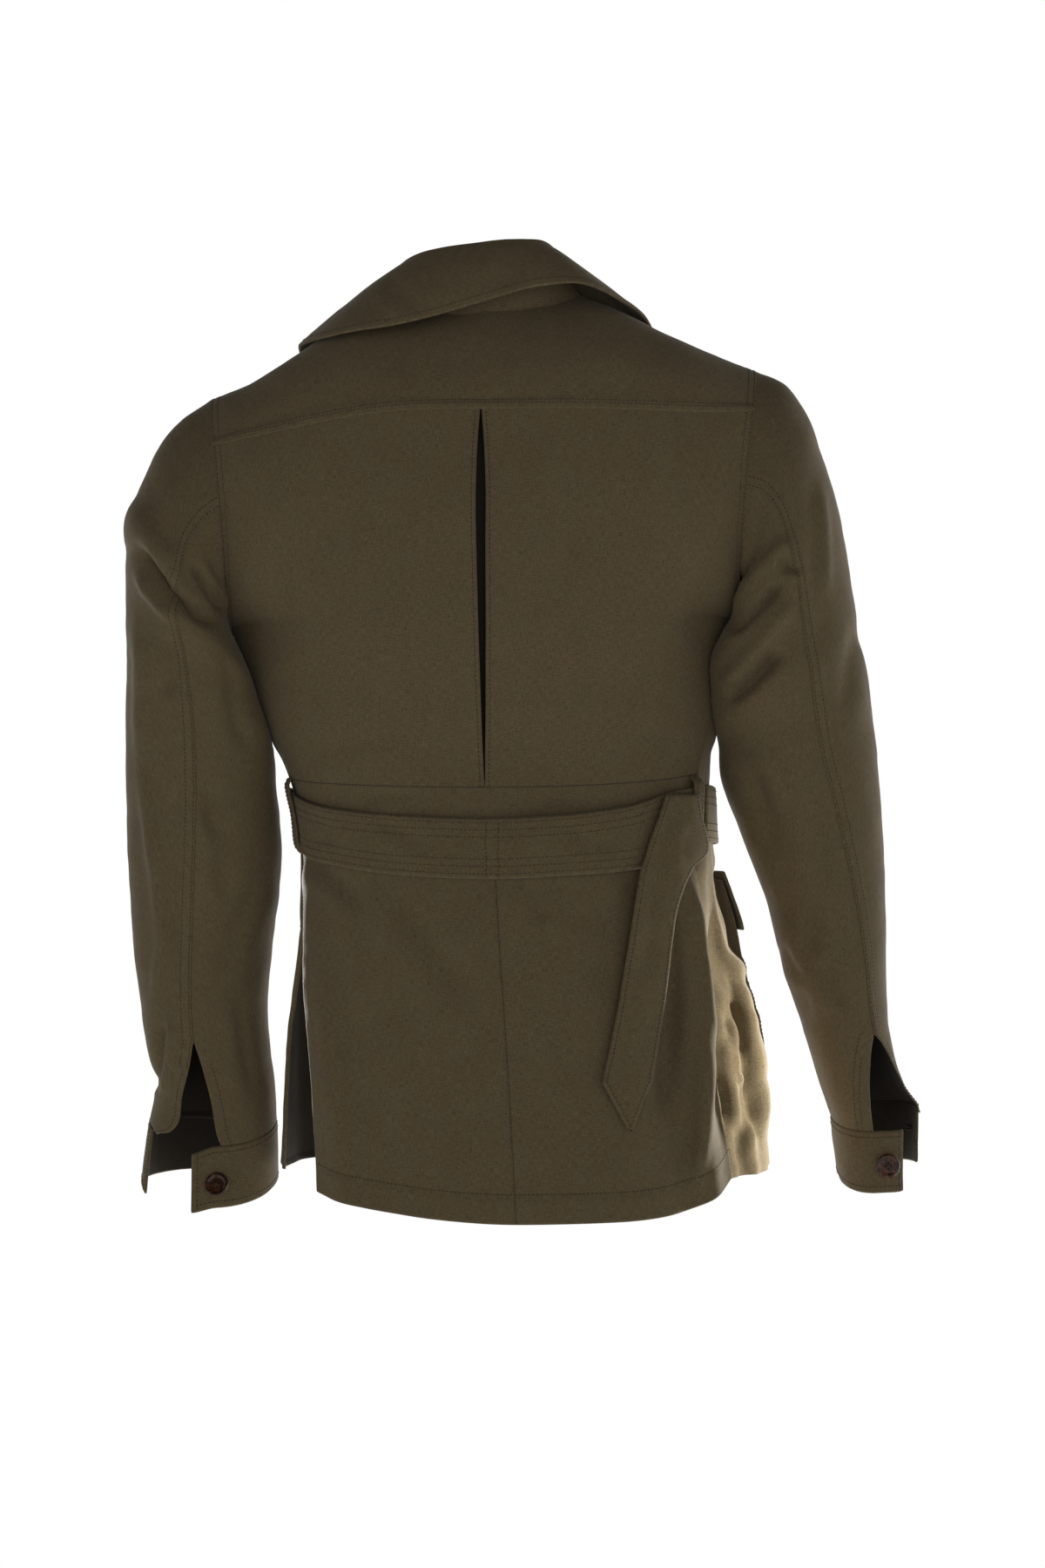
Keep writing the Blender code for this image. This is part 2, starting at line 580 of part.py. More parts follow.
# pleat underlay behind the slit
t = np.broadcast_to(BACK_ROWS[:, None], (len(BACK_ROWS), 3))
g = body(np.array([[-0.20, 0.0, 0.20]]) + 0 * t, t, False, -4.5)
cloth("back_pleat", pull_in(g, 3.0, 3.0), flip=True)

# waistband across the back
t = np.broadcast_to(BAND_ROWS[:, None], (3, 15))
g = body(np.concatenate([-HALF[::-1], HALF[1:]])[None, :] + 0 * t, t, False)
cloth("waistband_back", pull_in(g, SEAM, SEAM, SEAM, SEAM), flip=True)

# yoke over both shoulders
across = np.array([-1.0, -0.835, -0.67, -0.50, -0.34, -0.17, 0.0, 0.17, 0.34, 0.50, 0.67, 0.835, 1.0])
v = np.linspace(0.0, 1.0, 7)[:, None]
g = yoke_surface(across[None, :] + 0 * v, v + 0 * across[None, :])
ends = armhole_gap(45.0 * (1 - v[:, 0]))
cloth("yoke", pull_in(g, SEAM, CORNER_SEAM, ends, ends), flip=True)

# collar
c = np.linspace(0.0, 12.0, 25)[:, None]
w = np.array([0.0, 0.18, 0.36, 0.40, 0.44, 0.60, 0.80, 1.0])[None, :]
g = collar_surface(c + 0 * w, w + 0 * c)
cloth("collar", pull_in(g, 0.0, 0.0, 1.4, 0.0))

# ---------------------------------------------------------------- sleeves and cuffs
for side, tag in ((+1, "left"), (-1, "right")):
    k = np.arange(0.0, K_CUFF + 0.5, 1.0)[:, None]
    seam = SLEEVE[side]("seam", k)
    ends = CUFF_END[side]
    open_by = np.where(k > K_SLIT, (k - K_SLIT) / (K_CUFF - K_SLIT), 0.0)
    under = seam + (ends["under"] - SLEEVE[side]("seam", K_CUFF)) * open_by
    top = seam + (ends["top"] - SLEEVE[side]("seam", K_CUFF)) * open_by
    fore = seam + 180.0
    f = np.linspace(0.0, 1.0, 9)[None, :]
    edge_gap = np.where(k[:, 0] > K_SLIT, 0.0, 2 * SEAM)

    a_under = under + (fore - under) * f
    g = sleeve(side, k + 0 * f, a_under)
    cloth("sleeve_under_" + tag,
          pull_in(g, armhole_gap(a_under[0]), SEAM, edge_gap, 2 * SEAM), flip=side < 0)
    a_top = top - (top + 360.0 - fore) * f
    g = sleeve(side, k + 0 * f, a_top)
    cloth("sleeve_top_" + tag,
          pull_in(g, armhole_gap(a_top[0]), SEAM, edge_gap, 2 * SEAM), flip=side > 0)

    a = np.linspace(ends["start"], ends["end"], 19)[None, :]
    w = np.linspace(0.0, 1.0, 3)[:, None]
    g = cuff_surface(side, a + 0 * w, w + 0 * a)
    cloth("cuff_" + tag, g, flip=side > 0)

# ---------------------------------------------------------------- belt
s = np.linspace(-0.985, 0.985, 19)[None, :]
z = np.stack([BELT_BACK("bottom", s[0]), (BELT_BACK("top", s[0]) + BELT_BACK("bottom", s[0])) / 2,
              BELT_BACK("top", s[0])])
t = height_number(s + 0 * z, z, False)
g = body(s + 0 * t, t, False, BELT_BACK("off", s) + 0 * t)
cloth("belt_back", g, flip=True)

s = np.linspace(0.965, -0.965, 21)[None, :]
z = np.array([[BELT_FRONT_TOP - BELT_WIDTH], [BELT_FRONT_TOP - BELT_WIDTH / 2], [BELT_FRONT_TOP]]) \
    - BELT_FRONT_DROP * (1 - s * s)
t = height_number(s + 0 * z, z, True)
g = body(s + 0 * t, t, True, BELT_OFF + 0 * t)
cloth("belt_front", g, flip=True)

v = np.concatenate([np.linspace(0.0, 0.92, 9), [1.0]])
rows = []
for vi in v:
    x, zc, width, off = (float(TAIL(n, vi)) for n in ("x", "z", "width", "off"))
    row = []
    for share in (-0.5, 0.0, 0.5):
        xs = x + share * width
        at = np.linspace(-1.0, 0.0, 201)
        tz = height_number(at[::8], np.full(26, zc), False)
        px = torso(at[::8], tz, False)[:, 0]
        si = float(np.interp(xs, px, at[::8]))
        ti = float(height_number(np.array([si]), np.array([zc]), False)[0])
        row.append(body(np.array([si]), np.array([ti]), False, off)[0])
    rows.append(row)
cloth("belt_tail", np.array(rows))

# belt loops at the side seams
for side, tag in ((+1, "left"), (-1, "right")):
    s0, width = side * 0.962, 0.032
    z = np.array([-326.0, -331.0, -346.0, -360.0, -376.0, -389.0, -395.0])[:, None]
    high = 7.2 if side > 0 else 8.2
    off = np.array([2.4, high - 1, high, high, high, high - 1, 2.4])[:, None]
    s = s0 + width * np.linspace(-1, 1, 3)[None, :]
    t = height_number(s + 0 * z, z + 0 * s, False)
    cloth("belt_loop_" + tag, body(s + 0 * t, t, False, off + 0 * t))

# ---------------------------------------------------------------- pockets
POCKET = {+1: dict(inner=0.30, outer=0.72), -1: dict(inner=0.30, outer=0.72)}
POCKET_TOP, POCKET_BOTTOM, FLAP_BOTTOM = -404, -560, -450
for side, tag in ((+1, "left"), (-1, "right")):
    p = POCKET[side]
    s = side * np.linspace(p["inner"], p["outer"], 7)[None, :]
    z = np.linspace(POCKET_BOTTOM, POCKET_TOP - 6, 7)[:, None]
    t = height_number(s + 0 * z, z + 0 * s, True)
    g = body(s + 0 * t, t, True, 3.0 + 0 * t, "front_" + tag)
    cloth("pocket_" + tag, g, flip=side < 0)
    s = side * np.linspace(p["inner"] - 0.01, p["outer"] + 0.02, 7)[None, :]
    z = np.linspace(FLAP_BOTTOM, POCKET_TOP, 4)[:, None]
    t = height_number(s + 0 * z, z + 0 * s, True)
    off = np.linspace(7.0, 5.0, 4)[:, None]
    g = body(s + 0 * t, t, True, off + 0 * t, "front_" + tag)
    cloth("flap_" + tag, g, flip=side < 0)
    sb, zb = np.array([side * 0.51]), np.array([FLAP_BOTTOM + 14.0])
    tb = height_number(sb, zb, True)
    base = body(sb, tb, True, 8.4, "front_" + tag)[0]
    button("flap_button_" + tag, base, normal(lambda a, b: torso(a, b, True), sb, tb, 1.0)[0])

# ---------------------------------------------------------------- buttons
for i, t0 in enumerate((2.02, 1.66, 1.30, 0.70)):
    sb, tb = np.array([0.0]), np.array([t0])
    base = body(sb, tb, True, 4.6, "front_left")[0]
    button("front_button_%d" % (i + 1), base, normal(lambda a, b: torso(a, b, True), sb, tb, 1.0)[0])
CUFF_BUTTON = {+1: dict(angle=97.0, w=0.62), -1: dict(angle=86.0, w=0.55)}
for side, tag in ((+1, "left"), (-1, "right")):
    ab, wb = np.array([CUFF_BUTTON[side]["angle"]]), np.array([CUFF_BUTTON[side]["w"]])
    n = normal(lambda a, b: cuff_surface(side, a, b), ab, wb, -side, 0.5, 0.01)[0]
    if n[1] < 0:
        n = -n
    button("cuff_button_" + tag, cuff_surface(side, ab, wb)[0] + n * 1.3, n)
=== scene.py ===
"""Looks of the belted linen jacket: fine cloth shells with folds, stitching and buttons.

Metres, +Z up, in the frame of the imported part; tables are in millimetres.
"""

import math

import bmesh
import bpy
import numpy as np
from mathutils import Matrix, Vector
from mathutils.bvhtree import BVHTree


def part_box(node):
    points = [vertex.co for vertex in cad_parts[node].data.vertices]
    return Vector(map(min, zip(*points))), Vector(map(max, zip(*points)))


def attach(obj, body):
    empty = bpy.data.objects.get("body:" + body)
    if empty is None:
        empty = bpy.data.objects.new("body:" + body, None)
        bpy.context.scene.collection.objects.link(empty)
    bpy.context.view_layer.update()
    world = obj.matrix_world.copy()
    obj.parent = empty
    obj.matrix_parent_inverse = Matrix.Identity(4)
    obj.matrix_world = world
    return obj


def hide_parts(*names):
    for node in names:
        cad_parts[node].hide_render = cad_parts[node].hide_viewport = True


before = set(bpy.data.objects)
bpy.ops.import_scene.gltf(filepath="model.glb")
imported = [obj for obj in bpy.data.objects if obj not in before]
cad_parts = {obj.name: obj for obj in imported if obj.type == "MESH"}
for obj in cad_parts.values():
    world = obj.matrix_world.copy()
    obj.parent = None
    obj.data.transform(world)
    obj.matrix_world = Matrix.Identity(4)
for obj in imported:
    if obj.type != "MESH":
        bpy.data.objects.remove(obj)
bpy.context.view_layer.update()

MM = 0.001
LAYER = 1.1             # one layer of linen
T_WAIST = 1.0           # height numbers: 0 hem, 1 waist seam, 2 armpit, 3 shoulder
T_BAND = 0.875
T_VENT = 0.625
T_ARMPIT = 2.0
T_YOKE = 2.75
K_SLIT = 14.4
K_CUFF = 17.0

EYE = np.array([-30.3, 2400.0, -331.0])     # the photograph's point of view
VIEW_SCALE = 1.42                           # view units per millimetre at the origin's depth
F_VIEW = 3408.0


# ---------------------------------------------------------------- tables
def pchip(xs, ys, x):
    """Smooth curve through the rows of a column, without overshoot."""
    xs = np.asarray(xs, float)
    ys = np.asarray(ys, float)
    x = np.clip(np.asarray(x, float), xs[0], xs[-1])
    h = np.diff(xs)
    d = np.diff(ys) / h
    m = np.zeros(len(xs))
    if len(xs) == 2:
        m[:] = d[0]
    else:
        for i in range(1, len(xs) - 1):
            if d[i - 1] * d[i] > 0.0:
                w1 = 2.0 * h[i] + h[i - 1]
                w2 = h[i] + 2.0 * h[i - 1]
                m[i] = (w1 + w2) / (w1 / d[i - 1] + w2 / d[i])
        m[0] = d[0]
        m[-1] = d[-1]
    k = np.clip(np.searchsorted(xs, x, side="right") - 1, 0, len(xs) - 2)
    f = (x - xs[k]) / h[k]
    return ((1 + 2 * f) * (1 - f) ** 2 * ys[k] + f * (1 - f) ** 2 * h[k] * m[k]
            + f * f * (3 - 2 * f) * ys[k + 1] + f * f * (f - 1) * h[k] * m[k + 1])


class Table:
    """Rows of sizes with named columns; the first column is the parameter."""

    def __init__(self, columns, rows):
        self.names = columns.split()
        self.rows = np.array(rows, float)

    def __call__(self, name, x):
        return pchip(self.rows[:, 0], self.rows[:, self.names.index(name)], x)

    def point(self, names, x):
        return np.stack([self(n, x) for n in names.split()], axis=-1)


BACK_EDGE = Table("t lx ly lz rx ry rz", (
    (0.000, 131, 58, -652, -196, 44, -643),
    (0.300, 136, 48, -556, -184, 46, -552),
    (0.625, 145, 22, -448, -171, 42, -446),
    (0.875, 147, 8, -371, -168, 36, -369),
    (1.000, 156, 2, -326, -170, 30, -323),
    (1.250, 172, -2, -295, -178, 20, -292),
    (1.500, 187, -6, -265, -187, 8, -260),
    (1.750, 196, -10, -235, -193, -2, -228),
    (2.000, 206, -12, -203, -203, -8, -195)))

FRONT_EDGE = Table("t lx ly lz rx ry rz", (
    (0.000, 167, -28, -640, -186, 45, -640),
    (0.300, 161, -14, -545, -175, 46, -550),
    (0.500, 151, 10, -486, -171, 43, -488),
    (0.625, 145, 22, -448, -171, 42, -446)))

BACK_MID = Table("t x y z wrap_l wrap_r rise_l rise_r", (
    (0.000, -25, 118, -669, 62, 58, 1.6, 5.0),
    (0.300, -20, 112, -577, 68, 60, 1.8, 3.0),
    (0.625, -12, 104, -457, 78, 62, 2.0, 2.0),
    (0.875, -7, 96, -380, 82, 64, 2.0, 2.0),
    (1.000, -1, 93, -334, 84, 66, 2.0, 2.0),
    (1.500, 0, 101, -268, 80, 72, 2.0, 2.0),
    (2.000, 1, 112, -199, 76, 74, 2.0, 2.0),
    (2.400, 2, 115, -122, 64, 64, 2.0, 2.0),
    (2.750, 2, 108, -41, 54, 54, 2.0, 2.0)))

FRONT_MID = Table("t x y z wrap_l wrap_r rise_l rise_r", (
    (0.000, -34, -130, -630, 88, 129, 1.0, 1.0),
    (0.300, -30, -127, -541, 92, 130, 1.0, 1.0),
    (0.625, -22, -121, -444, 102, 124, 1.0, 1.0),
    (0.875, -14, -112, -368, 99, 114, 1.0, 1.0),
    (1.000, -9, -109, -326, 97, 111, 1.0, 1.0),
    (1.500, -4, -118, -262, 100, 105, 1.0, 1.0),
    (2.000, 0, -127, -198, 95, 97, 1.0, 1.0),
    (2.400, 2, -113, -116, 66, 66, 1.0, 1.0),
    (2.750, 2, -66, -24, 50, 50, 1.0, 1.0),
    (3.000, 3, 10, 70, 40, 40, 1.0, 1.0)))

ARMHOLE = {
    +1: dict(top=(221, -6, -21), low=(206, -12, -203), back=66, front=68, inset=18),
    -1: dict(top=(-219, -6, 3), low=(-203, -8, -195), back=66, front=68, inset=18)}

SHOULDER = Table("s lx ly lz rx ry rz", (
    (0.00, 1, 74, 40, 1, 74, 40),
    (0.17, 40, 62, 42, -38, 62, 45),
    (0.34, 76, 24, 53, -73, 24, 60),
    (0.67, 148, 4, 14, -146, 4, 28),
    (0.84, 184, -2, -8, -182, -2, 14),
    (1.00, 221, -6, -21, -219, -6, 3)))

YOKE_RISE = Table("s rise", ((0.0, 0.52), (0.34, 0.80), (0.67, 1.04), (1.0, 1.0)))

SLIT = Table("t half", (
    (1.000, 0.5), (1.250, 1.2), (1.750, 2.0), (2.250, 2.8), (2.450, 3.3),
    (2.600, 2.6), (2.750, 0.6)))

NECKLINE = Table("t s", ((0.0, -0.10), (2.000, -0.10), (2.125, -0.09), (2.750, 0.20), (3.0, 0.34)))
LAPEL = Table("t width", ((2.14, 0.05), (2.30, 0.19), (2.50, 0.36), (2.61, 0.44)))

COLLAR = Table("c sx sy sz rx ry rz ex ey ez bulge", (
    (0, 51, -64, -22, 50, -74, -14, 112, -84, -46, 3),
    (1, 66, -18, 27, 68, -24, 44, 144, -42, -2, 4),
    (2, 76, 22, 55, 68, 28, 78, 150, 12, 21, 2),
    (3, 72, 36, 53, 62, 48, 83, 130, 62, 20, 3),
    (4, 48, 59, 44, 48, 62, 87, 88, 92, 23, 5),
    (5, 24, 71, 42, 26, 70, 90, 46, 98, 31, 5),
    (6, 1, 75, 42, 1, 72, 92, -2, 96, 45, 4),
    (7, -22, 71, 43, -24, 70, 95, -40, 94, 56, 4),
    (8, -46, 59, 46, -44, 62, 96, -72, 88, 60, 3),
    (9, -69, 36, 58, -55, 46, 92, -106, 62, 52, 2),
    (10, -73, 22, 62, -59, 26, 85, -131, 16, 40, 2),
    (11, -66, -18, 34, -68, -24, 50, -144, -42, 9, 4),
    (12, -51, -64, -14, -50, -74, -6, -112, -84, -38, 3)))

SLEEVE = {
    +1: Table("k ox oz oy ix iz iy depth seam drop", (
        (0, 221, -21, -9, 206, -203, -9, 67, 90, 0),
        (1, 245, -37, -9, 209, -208, -6, 69, 91, 0),
        (2, 265, -60, -9, 209, -215, -1, 70, 93, 0),
        (3, 280, -95, -10, 207, -225, 2, 70, 95, 0),
        (4, 290, -129, -11, 205, -239, 5, 68, 96, 0),
        (6, 291, -204, -14, 189, -277, 2, 65, 95, 0),
        (8, 293, -282, -20, 173, -320, -10, 62, 93, 0),
        (10, 293, -365, -30, 168, -379, -26, 59, 90, 0),
        (12, 291, -446, -42, 174, -448, -42, 56, 87, 0),
        (14, 283, -522, -53, 181, -520, -53, 53, 84, 2),
        (16, 274, -586, -62, 176, -583, -62, 51, 81, 9),
        (17, 278, -607, -65, 174, -610, -65, 52, 80, 16))),
    -1: Table("k ox oz oy ix iz iy depth seam drop", (
        (0, -219, 3, -7, -203, -195, -7, 67, 90, 0),
        (1, -241, -7, -8, -208, -200, -5, 69, 89, 0),
        (2, -259, -31, -9, -207, -208, -1, 70, 88, 0),
        (3, -272, -66, -10, -205, -220, 2, 70, 87, 0),
        (4, -285, -105, -11, -202, -235, 5, 68, 86, 0),
        (6, -301, -194, -13, -194, -275, 3, 65, 82, 0),
        (8, -314, -278, -16, -191, -318, -6, 63, 78, 0),
        (10, -322, -360, -22, -209, -370, -18, 62, 72, 0),
        (12, -327, -439, -31, -234, -437, -31, 61, 66, 0),
        (14, -330, -519, -42, -258, -517, -42, 60, 62, 0),
        (16, -345, -577, -52, -278, -582, -52, 59, 64, 4),
        (17, -357, -596, -56, -287, -606, -56, 59, 66, 9)))}
CUFF_END = {+1: dict(start=77, end=380), -1: dict(start=62, end=357)}
# edges of the slit above each cuff, in degrees
SLIT_EDGE = {
    +1: Table("k top under", ((14.4, 84.2, 84.2), (15.0, 76.0, 88.8), (15.9, 62.6, 94.0),
                              (16.4, 60.6, 96.6), (16.8, 52.0, 100.0), (17.0, 38.0, 103.0))),
    -1: Table("k top under", ((14.4, 62.8, 62.8), (14.75, 46.0, 71.0), (15.5, 24.0, 85.0),
                              (15.8, 12.0, 90.0), (16.1, 9.0, 94.5), (17.0, 5.0, 106.0)))}
CUFF = {
    +1: Table("angle drop height flare", (
        (77, 9.0, 46, 2), (99, 1.8, 48, 1), (180, 1.4, 47, 0),
        (270, 1.4, 46, 2), (360, 1.4, 50, 7), (380, 3.0, 52, 6))),
    -1: Table("angle drop height flare", (
        (62, 5.0, 48, 0), (98, 1.8, 48, 0), (180, 1.4, 47, -6),
        (270, 1.4, 47, 0), (357, 1.4, 46, 0)))}

BELT_BACK = Table("s top bottom off", (
    (-1.00, -334, -376, 4.5), (-0.80, -338, -388, 5.0), (-0.55, -350, -398, 6.5),
    (-0.25, -357, -402, 7.0), (0.00, -359, -404, 4.0), (0.35, -356, -401, 4.0),
    (0.65, -350, -394, 4.0), (0.85, -343, -389, 3.6), (0.93, -340, -384, 3.5), (1.00, -336, -371, 3.4)))
BELT_FRONT_TOP = -332
BELT_FRONT_DROP = 8
BELT_WIDTH = 44
BELT_OFF = 4.5

TAIL = Table("v x z width off", (
    (0.00, -150, -341, 24, 11), (0.08, -148, -355, 30, 12), (0.19, -145, -385, 45, 13),
    (0.26, -137, -399, 38, 13), (0.42, -127, -439, 31, 12), (0.52, -124, -466, 32, 10),
    (0.65, -120, -500, 34, 9), (0.80, -113, -541, 35, 8), (0.89, -109, -564, 36, 8),
    (1.00, -111, -600, 5, 8)))

POCKET = dict(inner=0.30, outer=0.72, top=-404, bottom=-560, flap=-450)

# largest folds of each piece; columns: across, along, half_across, half_along, depth, lean
FOLDS = {
    "skirt_back_right": ((-0.86, 0.25, 0.07, 0.36, 7, 0.02), (-0.72, 0.25, 0.08, 0.36, -5, 0.02),
                         (-0.45, 0.10, 0.12, 0.40, 3, 0.0)),
    "skirt_back_left": ((0.80, 0.10, 0.10, 0.35, 4, 0.0), (0.50, 0.05, 0.12, 0.30, -3, 0.0)),
    "front_right": ((-0.80, 0.25, 0.07, 0.40, 6, 0.0), (-0.90, 0.62, 0.07, 0.22, -9, 0.05),
                    (-0.62, 0.20, 0.08, 0.40, -5, 0.0)),
    "front_left": ((0.75, 0.20, 0.08, 0.40, 5, 0.0), (0.45, 0.20, 0.09, 0.40, -4, 0.0)),
    "sleeve_left": ((130, 4.4, 40, 0.9, -7, -0.02), (60, 3.6, 50, 0.7, -5, 0.02),
                    (110, 10.5, 60, 0.9, -4, 0.01)),
    "sleeve_right": ((130, 4.2, 45, 0.9, -6, 0.02), (125, 6.2, 45, 0.8, -5, 0.02),
                     (150, 13.0, 40, 0.8, -5, 0.0))}

